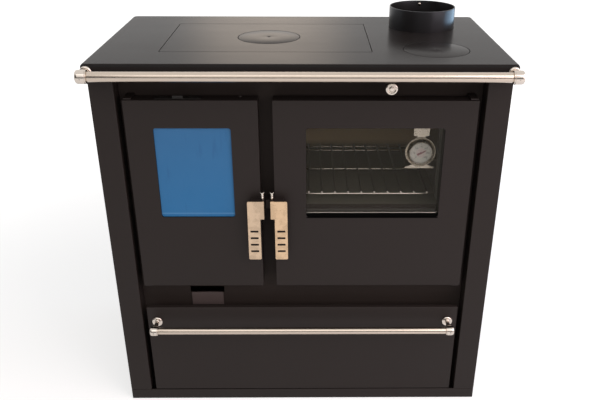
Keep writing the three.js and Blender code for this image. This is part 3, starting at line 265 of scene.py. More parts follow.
@surface("oven_enamel")
def oven_enamel(tree):
    """Vitreous enamel of an oven liner: glossy dark glass with pale flecks of about 2 mm, its back wall
    browned by heat above the floor."""
    low, high, _ = box_of("oven_box")
    spots = add_node(tree, "TexNoise", {"Vector": object_point(tree), "Scale": per_mm(2.2), "Detail": 1})
    fleck = add_node(tree, "MapRange", {0: spots, 1: 0.62, 2: 0.68, 3: 0.0, 4: 0.6})
    soil = add_node(tree, "TexNoise", {"Vector": object_point(tree), "Scale": per_mm(70), "Detail": 3})
    depth, height = (add_node(tree, "SeparateXYZ", {0: object_point(tree)}, axis) for axis in (1, 2))
    above = add_node(tree, "MapRange", {0: height, 1: low[2] + 12 * MM, 2: low[2] + 34 * MM})
    behind = add_node(tree, "MapRange", {0: depth, 1: high[1] - 30 * MM, 2: high[1] - 10 * MM})
    baked = add_node(tree, "Math", {0: above, 1: behind}, operation="MULTIPLY")
    ground = add_node(tree, "Mix", {0: soil, 6: "#4f4e44", 7: "#605e53"}, 2, data_type="RGBA")
    browned = add_node(tree, "Mix", {0: baked, 6: ground, 7: "#c4a880"}, 2, data_type="RGBA")
    return {
        "Base Color": add_node(tree, "Mix", {0: fleck, 6: browned, 7: "#7d786a"}, 2, data_type="RGBA"),
        "Roughness": add_node(tree, "MapRange", {0: soil, 3: 0.3, 4: 0.45}),
        "Specular IOR Level": 0.3,
    }


@surface("fired_clay_brick")
def firebrick(tree):
    """Pressed fireclay brick: buff, dusty, with pores and grog grains of up to 5 mm, sooted in patches."""
    grog = add_node(tree, "TexVoronoi", {"Vector": object_point(tree), "Scale": per_mm(5)}, "Distance")
    soot = add_node(tree, "TexNoise", {"Vector": object_point(tree), "Scale": per_mm(80), "Detail": 4})
    grains = add_node(tree, "MapRange", {0: grog})
    body = add_node(tree, "Mix", {0: grains, 6: "#8d7657", 7: "#bca17c"}, 2, data_type="RGBA")
    sooted = add_node(tree, "MapRange", {0: soot, 3: 0.1, 4: 0.75})
    return {
        "Base Color": add_node(tree, "Mix", {0: sooted, 6: body, 7: "#3a332c"}, 2, data_type="RGBA"),
        "Roughness": 0.93,
        "Specular IOR Level": 0.2,
        "Normal": add_node(tree, "Bump", {"Height": grog, "Distance": 0.5 * MM, "Strength": 0.6}),
    }


@surface("glass_fibre_rope")
def fibre_rope(tree):
    """Knitted glass-fibre rope, graphited: dull grey with crossed strands about 3 mm apart."""
    point = add_node(tree, "UVMap", uv_map="UVMap")
    strands = {}
    for i, lean in enumerate((0.8, -0.8)):
        leaning = add_node(tree, "Mapping", {"Vector": point, "Rotation": (0, 0, lean)})
        strands[i] = add_node(tree, "TexWave", {"Vector": leaning, "Scale": 1.0, "Distortion": 0.4}, "Fac")
    weave = add_node(tree, "Math", strands, operation="MAXIMUM")
    return {
        "Base Color": add_node(tree, "Mix", {0: weave, 6: "#2a2826", 7: "#5d5a55"}, 2, data_type="RGBA"),
        "Roughness": 0.95,
        "Specular IOR Level": 0.15,
        "Normal": add_node(tree, "Bump", {"Height": weave, "Distance": 0.5 * MM, "Strength": 0.8}),
    }


@surface("blue_filmed_glass")
def blue_glass(tree):
    """Ceramic glass under blue film: an even clear blue, cloudy in patches, with a few soft upright streaks
    and a paler line near its foot where the film is lapped."""
    settings = bpy.context.scene.cookstove_glass
    low, high, _ = box_of("fire_door_glass")
    cloud = add_node(tree, "TexNoise", {"Vector": object_point(tree), "Scale": per_mm(55), "Detail": 2})
    upright = add_node(tree, "TexNoise", {
        "Vector": object_point(tree, (1, 1, 0.15)), "Scale": per_mm(16), "Detail": 2})
    streak = add_node(tree, "MapRange", {0: upright, 1: 0.6, 2: 0.75, 3: 0.0, 4: 0.35})
    height = add_node(tree, "SeparateXYZ", {0: object_point(tree)}, 2)
    rise = add_node(tree, "MapRange", {0: height, 1: low[2], 2: high[2]})
    tone = add_node(tree, "Mix", {0: rise, 6: list(settings.blue_low) + [1], 7: list(settings.blue_high) + [1]}, 2,
                    data_type="RGBA")
    patches = add_node(tree, "MapRange", {0: cloud, 3: -0.15, 4: 0.55})
    cloudy = add_node(tree, "Mix", {0: patches, 6: tone, 7: "#3f78aa"}, 2, data_type="RGBA")
    streaked = add_node(tree, "Mix", {0: streak, 6: cloudy, 7: "#23507e"}, 2, data_type="RGBA")
    # a paler line near the glass's foot
    pale_line = add_node(tree, "Math", {0: height, 1: low[2] + 17 * MM, 2: 1.2 * MM}, operation="COMPARE")
    paler = add_node(tree, "MapRange", {0: pale_line, 3: 0.0, 4: 0.3})
    return {
        "Base Color": add_node(tree, "Mix", {0: paler, 6: streaked, 7: "#7fb0d8"}, 2, data_type="RGBA"),
        "Roughness": add_node(tree, "MapRange", {0: cloud, 3: 0.12, 4: 0.22}),
        "Specular IOR Level": 0.2,
    }


@surface("oven_door_glass")
def oven_glass(tree):
    """Soda-lime oven glass: clear with a faint smoke tint, its faces carry the room's reflection."""
    wiped = add_node(tree, "TexNoise", {"Vector": object_point(tree), "Scale": per_mm(60), "Detail": 3})
    return {
        # painted light: this grey, shown at a tenth over the glass, brightens the dark oven behind it
        "Base Color": "#4f4d43",
        "Roughness": add_node(tree, "MapRange", {0: wiped, 3: 0.02, 4: 0.06}),
        "Alpha": 0.1,
        "Specular IOR Level": 0.35,
    }


@surface("thermometer_lens_glass")
def lens_glass(tree):
    """Thin flat watch glass: almost invisible but for its edge and a sharp highlight."""
    wiped = add_node(tree, "TexNoise", {"Vector": object_point(tree), "Scale": per_mm(8), "Detail": 2})
    return {
        "Base Color": "#e8ecec",
        "Roughness": add_node(tree, "MapRange", {0: wiped, 3: 0.02, 4: 0.05}),
        "Alpha": 0.1,
        "Specular IOR Level": 1.0,
    }


@surface("printed_dial_card")
def dial_card(tree):
    """Lacquered metal dial, printed: a pale pinkish centre inside a cream ring where the scale sits."""
    low, high, mid = box_of("thermometer_dial")
    outer = (high[0] - low[0]) / 2
    place = add_node(tree, "TexCoord", None, "Object")
    offset = add_node(tree, "VectorMath", {0: place, 1: tuple(mid)}, operation="SUBTRACT")
    flat = add_node(tree, "VectorMath", {0: offset, 1: (1, 0, 1)}, operation="MULTIPLY")
    radius = add_node(tree, "VectorMath", {0: flat}, "Value", operation="LENGTH")
    age = add_node(tree, "TexNoise", {"Vector": object_point(tree), "Scale": per_mm(10), "Detail": 3})
    aged = add_node(tree, "MapRange", {0: age, 3: 0.0, 4: 0.5})
    paper = add_node(tree, "Mix", {0: aged, 6: "#fbe6da", 7: "#ecd8ca"}, 2, data_type="RGBA")
    ring = add_node(tree, "MapRange", {0: radius, 1: outer * 0.42, 2: outer * 0.5})
    return {
        "Base Color": add_node(tree, "Mix", {0: ring, 6: paper, 7: "#f4efde"}, 2, data_type="RGBA"),
        "Roughness": 0.5,
    }


@surface("blue_black_collar_paint")
def collar_paint(tree):
    """Stove paint rolled over a bent steel ring: nearly black, with a cool blue sheen at a low angle."""
    cloud = add_node(tree, "TexNoise", {
        "Vector": object_point(tree, (1, 1, 0.4)), "Scale": per_mm(25), "Detail": 3})
    grain = add_node(tree, "TexNoise", {"Vector": object_point(tree), "Scale": per_mm(1.2), "Detail": 3})
    patches = add_node(tree, "MapRange", {0: cloud, 3: 0.0, 4: 0.7})
    return {
        "Base Color": add_node(tree, "Mix", {0: patches, 6: "#1a1818", 7: "#252222"}, 2, data_type="RGBA"),
        "Roughness": add_node(tree, "MapRange", {0: cloud, 3: 0.24, 4: 0.36}),
        "Specular IOR Level": 0.55,
        # painted reflection: a cool tint on the paint's reflections
        "Specular Tint": "#e6eefa",
        "Normal": add_node(tree, "Bump", {"Height": grain, "Distance": 0.04 * MM, "Strength": 0.3}),
    }


@surface("lacquer")
def lacquer(tree, colour="#1b1a19", roughness=0.4, specular=0.5):
    """Printing ink or lacquer: an even colour with a slightly uneven gloss."""
    uneven = add_node(tree, "TexNoise", {"Vector": object_point(tree), "Scale": per_mm(3), "Detail": 2})
    return {
        "Base Color": colour,
        "Roughness": add_node(tree, "MapRange", {0: uneven, 3: roughness - 0.05, 4: roughness + 0.08}),
        "Specular IOR Level": specular,
    }


# ------------------------------------------------------------------ surfaces


def grid_faces(rows, cols, wrap_rows=False):
    """Quads between neighbouring rows and columns of a point grid whose columns close on themselves."""
    i, j = np.meshgrid(np.arange(rows if wrap_rows else rows - 1), np.arange(cols), indexing="ij")
    i2, j2 = (i + 1) % rows, (j + 1) % cols
    return np.stack([i * cols + j, i * cols + j2, i2 * cols + j2, i2 * cols + j], axis=-1).reshape(-1, 4)


def rounded_profile(points, radius, steps=5):
    """Replaces each inner corner of a polyline with a quadratic curve that starts and ends a radius away:
    q(t) = (1-t)^2 a + 2t(1-t) corner + t^2 b."""
    points = np.array(points, float)
    radii = np.broadcast_to(radius, (len(points),))
    before = points[:-2] - points[1:-1]
    after = points[2:] - points[1:-1]
    size_before = np.linalg.norm(before, axis=1, keepdims=True)
    size_after = np.linalg.norm(after, axis=1, keepdims=True)
    reach = np.minimum(radii[1:-1, None], 0.49 * np.minimum(size_before, size_after))
    start = points[1:-1] + before / size_before * reach
    end = points[1:-1] + after / size_after * reach
    t = np.linspace(0, 1, steps)[None, :, None]
    arcs = ((1 - t) ** 2 * start[:, None] + 2 * t * (1 - t) * points[1:-1][:, None] + t ** 2 * end[:, None])
    return np.concatenate([points[:1], arcs.reshape(-1, 2), points[-1:]])


def profile_mm(points, radius, steps):
    """The same, with the points and the radius in millimetres."""
    return rounded_profile(np.array(points) * MM, np.array(radius) * MM, steps)


def rounded_outline(points, radius, steps=5):
    """The same rounding round a closed outline."""
    points = np.array(points, float)
    ring = np.concatenate([points[-1:], points, points[:1]])
    radii = np.concatenate([[0], np.broadcast_to(radius, (len(points),)), [0]])
    return rounded_profile(ring, radii, steps)[1:-1]


def mirrored_outline(right_half):
    """A closed outline that is the same on both sides of x = 0, from its right half, read upwards."""
    right_half = np.array(right_half, float)
    return np.concatenate([right_half, right_half[::-1] * [-1, 1]])


AXES = {"x": [1, 2, 0], "y": [2, 0, 1], "z": [0, 1, 2]}


def turned(profile, place, axis="z", steps=64):
    """A surface of revolution: (r cos t, r sin t, h) for each profile point (r, h), laid along an axis."""
    profile = np.array(profile, float)
    angle = np.linspace(0, 2 * math.pi, steps, endpoint=False)
    r, h = profile[:, 0][:, None], profile[:, 1][:, None]
    local = np.stack([r * np.cos(angle), r * np.sin(angle), np.broadcast_to(h, (len(profile), steps))], axis=-1)
    points = np.empty_like(local)
    points[..., AXES[axis]] = local
    return points.reshape(-1, 3) + np.array(place), grid_faces(len(profile), steps)


def rod(radius, low, high, place, axis="x", edge=0.3 * MM, steps=32):
    """A round bar between two heights along its axis, with softly broken end edges."""
    profile = rounded_profile([(0, low), (radius, low), (radius, high), (0, high)], edge, 4)
    return turned(profile, place, axis, steps)


def swept_loop(path, side, up, section, twist):
    """A closed cord: path(s) + section(s, t) read on the side and up directions at each path point;
    the section's radius swells by the twist wave so that the strands stand out."""
    points = (path[:, None] + side[:, None] * (section[None, :, 0, None] * twist[..., None])
              + up[:, None] * (section[None, :, 1, None] * twist[..., None]))
    return points.reshape(-1, 3), grid_faces(len(path), len(section), wrap_rows=True)


def combine(parts):
    """Joins point and face arrays into one pair, shifting each part's face indices."""
    shift = 0
    all_points, all_faces = [], []
    for points, faces in parts:
        all_points.append(points)
        all_faces.extend([corner + shift for corner in face] for face in faces)
        shift += len(points)
    return np.concatenate(all_points), all_faces


def plate_along_y(outline, y0, y1):
    """A flat plate: the (x, z) outline at y0 and y1, joined by a band and closed by its two faces."""
    outline = np.array(outline, float)
    count = len(outline)
    front = np.column_stack([outline[:, 0], np.full(count, y0), outline[:, 1]])
    back = np.column_stack([outline[:, 0], np.full(count, y1), outline[:, 1]])
    ring = np.arange(count)
    band = np.column_stack([ring, (ring + 1) % count, (ring + 1) % count + count, ring + count])
    faces = band.tolist() + [ring.tolist()[::-1], (ring + count).tolist()]
    return np.concatenate([front, back]), faces


# ------------------------------------------------------------------ making pieces


def finish_mesh(mesh, angle, from_cad=False):
    """Merges doubled points and shades the mesh; a CAD copy's flat facets are joined, a new mesh's normals
    are turned outward."""
    shaped = bmesh.new()
    shaped.from_mesh(mesh)
    bmesh.ops.remove_doubles(shaped, verts=shaped.verts, dist=2e-6 if from_cad else 1e-6)
    if from_cad:
        bmesh.ops.dissolve_limit(shaped, angle_limit=math.radians(1), verts=shaped.verts, edges=shaped.edges)
    else:
        bmesh.ops.recalc_face_normals(shaped, faces=shaped.faces)
    shaped.to_mesh(mesh)
    shaped.free()
    mesh.shade_smooth()
    mesh.set_sharp_from_angle(angle=math.radians(angle))


def place_piece(name, mesh, material, node=None, on=None, rounding=None):
    """Links a mesh as a piece that takes a node's place, or lies on a node, and rides on that node's body.
    A rounding is the width, steps and angle of its sharp edges' bevel; the normals are then weighed by face
    area, so that flat faces stay flat to the eye."""
    mesh.materials.clear()
    mesh.materials.append(material)
    piece = bpy.data.objects.new(name, mesh)
    bpy.context.scene.collection.objects.link(piece)
    if rounding:
        bevel = piece.modifiers.new("rounded_edges", "BEVEL")
        bevel.width, bevel.segments, angle = rounding
        bevel.limit_method = "ANGLE"
        bevel.angle_limit = math.radians(angle)
        flat = piece.modifiers.new("flat_faces", "WEIGHTED_NORMAL")
        flat.mode = "FACE_AREA"
        flat.weight = 100
        flat.keep_sharp = True
    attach(piece, body_of(node or on))
    if node:
        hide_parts(node)
    return piece


def make_piece(name, shape, material, node=None, on=None, bevel=0.0, angle=40, uv=None):
    """Makes a piece from a pair of point and face arrays."""
    points, faces = shape
    mesh = bpy.data.meshes.new(name)
    mesh.from_pydata(np.asarray(points).tolist(), [], faces if isinstance(faces, list) else faces.tolist())
    if uv is None:
        finish_mesh(mesh, angle)
    else:
        layer = mesh.uv_layers.new(name="UVMap")
        corner = np.empty(len(mesh.loops), dtype=np.int32)
        mesh.loops.foreach_get("vertex_index", corner)
        layer.data.foreach_set("uv", uv[corner].ravel())
        mesh.shade_smooth()
    return place_piece(name, mesh, material, node, on, (bevel, 3, 35) if bevel else None)


def soften(node, material, width, steps=3, angle=35, share=None):
    """A merged copy of a node's mesh with its edges rounded, which takes the node's place. Where share is
    given, it takes the edges' middles and gives each edge's share of the width."""
    mesh = bpy.data.objects[node].data.copy()
    mesh.name = f"{node}_fine"
    finish_mesh(mesh, angle, from_cad=True)
    piece = place_piece(mesh.name, mesh, material, node, rounding=(width, steps, angle))
    if share is not None:
        piece.modifiers["rounded_edges"].limit_method = "WEIGHT"
        weights = np.where(sharp_edges(mesh, angle), share(edge_middles(mesh)), 0.0)
        layer = mesh.attributes.new("bevel_weight_edge", "FLOAT", "EDGE")
        layer.data.foreach_set("value", weights.astype(np.float32))
    return piece


def vertex_places(mesh):
    places = np.empty(len(mesh.vertices) * 3)
    mesh.vertices.foreach_get("co", places)
    return places.reshape(-1, 3)


def edge_middles(mesh):
    ends = np.empty(len(mesh.edges) * 2, dtype=np.int32)
    mesh.edges.foreach_get("vertices", ends)
    return vertex_places(mesh)[ends.reshape(-1, 2)].mean(axis=1)


def sharp_edges(mesh, angle):
    """True for each edge whose two faces turn by more than the angle."""
    shaped = bmesh.new()
    shaped.from_mesh(mesh)
    turns = np.array([edge.calc_face_angle(0.0) for edge in shaped.edges])
    shaped.free()
    return turns > math.radians(angle)


def is_side(normals):
    """True for each face that looks sideways, up or down, such as the walls of an opening cut from the front."""
    return np.abs(normals[:, 1]) < 0.5


def blacken(piece, material, test):
    """Gives the second material to the faces that the test picks by their middles and normals."""
    mesh = piece.data
    mesh.materials.append(material)
    middles, normals = np.empty(len(mesh.polygons) * 3), np.empty(len(mesh.polygons) * 3)
    mesh.polygons.foreach_get("center", middles)
    mesh.polygons.foreach_get("normal", normals)
    dark = test(middles.reshape(-1, 3), normals.reshape(-1, 3))
    mesh.polygons.foreach_set("material_index", dark.astype(np.int32))


# ------------------------------------------------------------------ sizes and colours a user may change


class CookstoveEdges(bpy.types.PropertyGroup):
    sheet_edge: FloatProperty(
        name="Sheet edge", description="Rounding of folded sheet edges",
        default=2.0 * MM, min=0, unit="LENGTH", precision=4)
    cast_edge: FloatProperty(
        name="Cast edge", description="Rounding of cast and ground plate edges",
        default=0.5 * MM, min=0, unit="LENGTH", precision=4)
    hob_rim: FloatProperty(
        name="Hob rim", description="Rounding of the hob's outer top edge",
        default=4.5 * MM, min=0, unit="LENGTH", precision=4)
    handle_edge: FloatProperty(
        name="Handle edge", description="Rounding of the pressed handle's edges",
        default=1.1 * MM, min=0, unit="LENGTH", precision=4)


class CookstoveRails(bpy.types.PropertyGroup):
    facets: IntProperty(
        name="Facets", description="Facets round each turned piece", default=72, min=12, max=256)
    barrel_edge: FloatProperty(
        name="Barrel edge", description="Rounding of the rail barrels' ends",
        default=6.0 * MM, min=0, unit="LENGTH", precision=4)
    rosette_dish: FloatProperty(
        name="Rosette dish", description="Height of the rosettes' domed face",
        default=5.0 * MM, min=0, unit="LENGTH", precision=4)


class CookstoveGlass(bpy.types.PropertyGroup):
    blue_low: FloatVectorProperty(
        name="Blue, bottom", description="Fire window colour at its lower edge", subtype="COLOR",
        default=tuple(linear("#2d75ac")[:3]), min=0, max=1)
    blue_high: FloatVectorProperty(
        name="Blue, top", description="Fire window colour at its upper edge", subtype="COLOR",
        default=tuple(linear("#396f9f")[:3]), min=0, max=1)


class CookstoveStage(bpy.types.PropertyGroup):
    focal_length: FloatProperty(
        name="Focal length", description="Camera lens for a 36 mm sensor", default=42.98, subtype="DISTANCE_CAMERA")
    floor_colour: FloatVectorProperty(
        name="Floor", description="Floor and backdrop colour", subtype="COLOR",
        default=(0.7, 0.7, 0.7), min=0, max=1)
    floor_lift: FloatProperty(
        name="Floor lift", description="Strength that lifts the far floor to white where it is seen",
        default=0.9, min=0)
    mirrored_lift: FloatProperty(
        name="Mirrored floor lift", description="Strength that lifts the floor where polished metal shows it",
        default=0.5, min=0)
    world_strength: FloatProperty(
        name="Room light", description="Strength of the even light from all round", default=0.38, min=0)
    room_dimness: FloatProperty(
        name="Front room", description="Strength of the room in front as polished metal shows it",
        default=0.14, min=0, max=1)
    window_strength: FloatProperty(
        name="Window", description="Strength of the warm window that the hob shows", default=1.7, min=0)
    key_power: FloatProperty(
        name="Key light", description="Power of the large lamp in front", default=38.0, unit="POWER")
    side_power: FloatProperty(
        name="Side light", description="Power of the warm lamp on the right", default=56.0, unit="POWER")
    cool_power: FloatProperty(
        name="Cool light", description="Power of the cool lamp on the right", default=7.5, unit="POWER")


# ------------------------------------------------------------------ operators


class COOKSTOVE_OT_stage(bpy.types.Operator):
    """Lays the floor and sets the lamps and the camera"""
    bl_idname = "cookstove.stage"
    bl_label = "Stage"

    # the photograph's camera, solved from the stove's straight edges, in metres and degrees
    eye = (0.01682, -1.63419, 1.20341)
    pitch = 27.28
    yaw = 0.74
    roll = -0.30
    # the centre of the picture lies this share of the frame's width off the lens axis
    shift = (-0.0297, 0.0490)
    # where the way looked turns from the dim front into the bright back, as its Y, and from the dim room into
    # the bright ceiling, as its Z
    front_turn = (-0.35, 0.05)
    ceiling_turn = (0.5, 0.68)
    # the way to the warm window whose reflection lies on the round lid, and its half angle in degrees
    window_towards = Vector((-0.055, 0.977, 0.212)).normalized()
    window_edge = 7.5
    # the floor's half size and how far it lies below the stove; its lift grows from its near share to the
    # whole between these distances from the stove
    floor_size = 6.0
    floor_drop = 0.0004
    shadow_reach = 0.7
    far_floor = 2.6
    near_share = 0.66
    # each lamp's setting for its power, place, aim, size and colour; the cool one stands lower than the hob,
    # so that only the collar shows it
    lamps = {
        "key_softbox": ("key_power", (0.2, -3.0, 2.6), (0, 0, 0.5), (4.4, 3.0), (1, 0.97, 0.95)),
        "side_softbox": ("side_power", (2.4, -1.6, 1.9), (0, 0, 0.5), (2.8, 2.8), (1, 0.84, 0.86)),
        "cool_low_lamp": ("cool_power", (1.72, 0.6, 0.62), (0.35, 0.08, 0.87), (1.7, 0.42), (0.4, 0.7, 1)),
    }

    def execute(self, context):
        settings = context.scene.cookstove_stage
        self.lay_floor(context, settings)
        self.set_world(context, settings)
        for name, (power, *lamp) in self.lamps.items():
            self.add_lamp(context, name, getattr(settings, power), *lamp)
        self.set_camera(context, settings)
        return {"FINISHED"}

    def lay_floor(self, context, settings):
        """The floor is a matt pale sheet. What the camera, a mirror or a glass shows of it is lifted to white,
        less so around the stove, where it keeps the shadow."""
        corners = np.array([[-1, -1, 0], [1, -1, 0], [1, 1, 0], [-1, 1, 0]]) * self.floor_size
        mesh = bpy.data.meshes.new("floor")
        mesh.from_pydata((corners - [0, 0, self.floor_drop]).tolist(), [], [[0, 1, 2, 3]])
        floor = bpy.data.objects.new("floor", mesh)
        context.scene.collection.objects.link(floor)
        material, tree = new_material("pale_floor")
        glossy = add_node(tree, "LightPath", None, "Is Glossy Ray")
        mirrored = add_node(tree, "Math", {0: glossy, 1: settings.mirrored_lift}, operation="MULTIPLY")
        away = add_node(tree, "VectorMath", {0: object_point(tree)}, "Value", operation="LENGTH")
        reach = {0: away, 1: self.shadow_reach, 2: self.far_floor, 3: settings.floor_lift * self.near_share,
                 4: settings.floor_lift}
        white_lift = add_node(tree, "MapRange", reach, interpolation_type="SMOOTHSTEP")
        lift = add_node(tree, "Math", {0: seen_directly(tree), 1: white_lift, 2: mirrored}, operation="MULTIPLY_ADD")
        matt = add_node(tree, "BsdfDiffuse", {"Color": list(settings.floor_colour) + [1]})
        white = add_node(tree, "Emission", {"Color": (1, 1, 1, 1), "Strength": lift})
        add_node(tree, "OutputMaterial", {"Surface": add_node(tree, "AddShader", {0: matt, 1: white})})
        mesh.materials.append(material)

    def set_world(self, context, settings):
        """Even light for matt surfaces and a white backdrop for the camera. Polished surfaces see the white
        backdrop too, a dimmer room in front between floor and ceiling, and one soft warm window behind."""
        world = bpy.data.worlds.new("even_room")
        context.scene.world = world
        world.use_nodes = True
        world.cycles.sampling_method = "NONE"
        tree = world.node_tree
        tree.nodes.clear()
        look = add_node(tree, "TexCoord", None, "Generated")
        look_y, look_z = (add_node(tree, "SeparateXYZ", {0: look}, axis) for axis in (1, 2))
        front, below = (
            add_node(tree, "MapRange", {0: way, 1: start, 2: end, 3: 1.0, 4: 0.0}, interpolation_type="SMOOTHSTEP")
            for way, (start, end) in ((look_y, self.front_turn), (look_z, self.ceiling_turn)))
        dim = add_node(tree, "Math", {0: front, 1: below}, operation="MULTIPLY")
        facing = add_node(tree, "VectorMath", {0: look, 1: tuple(self.window_towards)}, "Value",
                          operation="DOT_PRODUCT")
        towards = {0: facing, 1: math.cos(math.radians(self.window_edge)), 2: 1.0, 3: 0.0,
                   4: settings.window_strength}
        window_glow = add_node(tree, "MapRange", towards, interpolation_type="SMOOTHSTEP")
        room_glow = add_node(tree, "MapRange", {0: dim, 3: 1.0, 4: settings.room_dimness})
        room = add_node(tree, "Background", {"Color": (1.0, 0.985, 0.97, 1), "Strength": room_glow})
        window = add_node(tree, "Background", {"Color": (1.0, 0.8, 0.62, 1), "Strength": window_glow})
        even = add_node(tree, "Background", {"Color": (1.0, 0.98, 0.96, 1), "Strength": settings.world_strength})
        white = add_node(tree, "Background", {"Color": (1, 1, 1, 1), "Strength": 1.0})
        reflected = add_node(tree, "AddShader", {0: room, 1: window})
        glossy = add_node(tree, "LightPath", None, "Is Glossy Ray")
        lit = add_node(tree, "MixShader", {0: glossy, 1: even, 2: reflected})
        shown = add_node(tree, "MixShader", {0: seen_directly(tree), 1: lit, 2: white})
        add_node(tree, "OutputWorld", {"Surface": shown})

    def add_lamp(self, context, name, power, place, target, size, colour):
        data = bpy.data.lights.new(name, "AREA")
        data.shape = "RECTANGLE"
        data.size, data.size_y = size
        data.energy = power
        data.color = colour
        lamp = bpy.data.objects.new(name, data)
        lamp.location = place
        lamp.rotation_euler = (Vector(target) - Vector(place)).to_track_quat("-Z", "Y").to_euler()
        context.scene.collection.objects.link(lamp)

    def set_camera(self, context, settings):
        pitch, yaw, roll = (math.radians(v) for v in (self.pitch, self.yaw, self.roll))
        forward = Vector((math.sin(yaw) * math.cos(pitch), math.cos(yaw) * math.cos(pitch), -math.sin(pitch)))
        right = forward.cross(Vector((0, 0, 1))).normalized()
        down = forward.cross(right)
        across = right * math.cos(roll) + down * math.sin(roll)
        below = -right * math.sin(roll) + down * math.cos(roll)
        data = bpy.data.cameras.new("photo_camera")
        data.sensor_fit = "HORIZONTAL"
        data.sensor_width = 36.0
        data.lens = settings.focal_length
        data.shift_x, data.shift_y = self.shift
        data.clip_start = 0.05
        camera = bpy.data.objects.new("photo_camera", data)
        turn = Matrix((across, -below, -forward)).transposed().to_4x4()
        camera.matrix_world = Matrix.Translation(self.eye) @ turn
        context.scene.collection.objects.link(camera)
        context.scene.camera = camera
        context.scene.view_settings.view_transform = "Standard"


class COOKSTOVE_OT_casing(bpy.types.Operator):
    """Paints the casing and rounds its folded edges"""
    bl_idname = "cookstove.casing"
    bl_label = "Casing"

    folded = ("plinth", "side_panel_left", "side_panel_right", "pilaster_left", "pilaster_right", "back_panel")
    folded_share = 0.8
    # the small pieces with cast edges, each with its paint's name and settings
    small = {
        "latch_keeper": (), "fire_door_hinge_top": (), "fire_door_hinge_bottom": (),
        "oven_door_hinge_top": (), "oven_door_hinge_bottom": (),
        # the shutter's grip tab gets a paler copy of the stove paint
        "air_shutter": ("worn_grip_paint", "#554a48", 0.42, 0.3),
        # painted light: the front plate in the shaded recess gets its own lighter copy of the stove paint, which lifts
        # the shade there
        "front_plate": ("recess_stove_paint", "#2f2825", 0.6, 0.14),
    }
    screw_inset = 14 * MM
    screw_rows = 6

    def execute(self, context):
        edges = context.scene.cookstove_edges
        for node in self.folded:
            soften(node, stove_paint(), edges.sheet_edge * self.folded_share)
        for node, paint in self.small.items():
            soften(node, stove_paint(*paint), edges.cast_edge, 2)
        self.make_back_screws()
        return {"FINISHED"}

    def make_back_screws(self):
        """Pan heads along both edges of the back panel: a domed profile turned about Y."""
        low, high, _ = box_of("back_panel")
        head = profile_mm([(0, 0), (4, 0), (3.6, 1.8), (0, 2.4)], 1.2, 4)
        rows = np.linspace(low[2] + self.screw_inset, high[2] - self.screw_inset, self.screw_rows)
        parts = [turned(head, (x, high[1], z), "y", 20)
                 for x in (low[0] + self.screw_inset, high[0] - self.screw_inset) for z in rows]
        make_piece("back_panel_screws", combine(parts), lacquer("zinc_screw", "#6f6a64"), on="back_panel")


class COOKSTOVE_OT_hob(bpy.types.Operator):
    """Makes the hob plates, their lids and the flue collar"""
    bl_idname = "cookstove.hob"
    bl_label = "Hob"

    # measured in from the hob's outline: the outer walls, and the band whose top edges are rounded in full; the
    # edges of the openings further in get a small share
    wall_depth = 0.5 * MM
    rim_band = 12 * MM
    opening_share = 0.08
    # the flat top reaches this far down
    top_skin = 1.5 * MM
    # a lid's broken edge, and the radius and depth of the mark in its middle
    lid_edge = 0.4 * MM
    mark_radius = 3.5 * MM
    mark_depth = 0.8 * MM
    collar_wall = 2.5 * MM
    # the rivet inside the collar, from its middle and its top
    rivet_place = (4 * MM, 9 * MM)

    def execute(self, context):
        steel = hob_steel()
        hob_rim = context.scene.cookstove_edges.hob_rim
        self.shade_lid_gaps(soften("hob_frame", steel, hob_rim, 6, 30, self.rim_share))
        self.shade_lid_gaps(soften("hob_plate", steel, self.lid_edge, 2, 50))
        for lid in ("hob_disc", "smoke_disc"):
            self.shade_lid_gaps(self.make_lid(lid, steel))
        self.make_collar()
        return {"FINISHED"}

    def shade_lid_gaps(self, piece):
        """Soots the walls and ledges inside the lids' gaps: each face but the outer walls and the flat top."""
        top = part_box("hob_frame")[1][2]
        # painted shade: near-black on the gap walls and ledges, where shade falls between the lids
        blacken(piece, lacquer("lid_gap_soot", "#070606", 0.9), lambda at, normals: (
            (self.from_outline(at) >= self.wall_depth)
            & ((normals[:, 2] < 0.5) | (at[:, 2] < top - self.top_skin))))

    def from_outline(self, places):
        return inset("hob_frame", places)[:, :2].min(axis=1)

    def rim_share(self, middles):
        """The hob's outer top edge is rounded in full; the edges of its openings are only broken."""
        on_top = middles[:, 2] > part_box("hob_frame")[1][2] - 0.1 * MM
        return np.where(on_top & (self.from_outline(middles) < self.rim_band), 1.0, self.opening_share)

    def make_lid(self, node, steel):
        """Profile: flat underside, straight wall with broken edges, flat top with a shallow centre mark."""
        low, high, mid = box_of(node)
        radius = (high[0] - low[0]) / 2
        foot, top, mark = low[2], high[2], high[2] - self.mark_depth
        profile = rounded_profile([
            (0, foot), (radius, foot), (radius, top), (self.mark_radius, top), (self.mark_radius * 0.6, mark),
            (0, mark)], self.lid_edge, 4)
        return make_piece(f"{node}_fine", turned(profile, (mid[0], mid[1], 0), "z", 128), steel, node)

    def make_collar(self):
        """Profile of the collar's wall: a closed loop with a rounded rim."""
        low, high, mid = box_of("flue_collar")
        outer = (high[0] - low[0]) / 2
        inner = outer - self.collar_wall
        middle = (outer + inner) / 2
        loop = rounded_profile([
            (middle, low[2]), (outer, low[2]), (outer, high[2]), (inner, high[2]), (inner, low[2]),
            (middle, low[2])], 1.0 * MM, 5)
        make_piece("flue_collar_fine", turned(loop, (mid[0], mid[1], 0), "z", 128), collar_paint(), "flue_collar")
        head = profile_mm([(0, 0), (4, 0), (3.6, -1.6), (0, -2.4)], 1.2, 5)
        aside, down = self.rivet_place
        place = (mid[0] + aside, mid[1] + inner + 0.2 * MM, high[2] - down)
        make_piece("flue_rivet", turned(head, place, "y", 24), bright_chrome(), on="flue_collar")


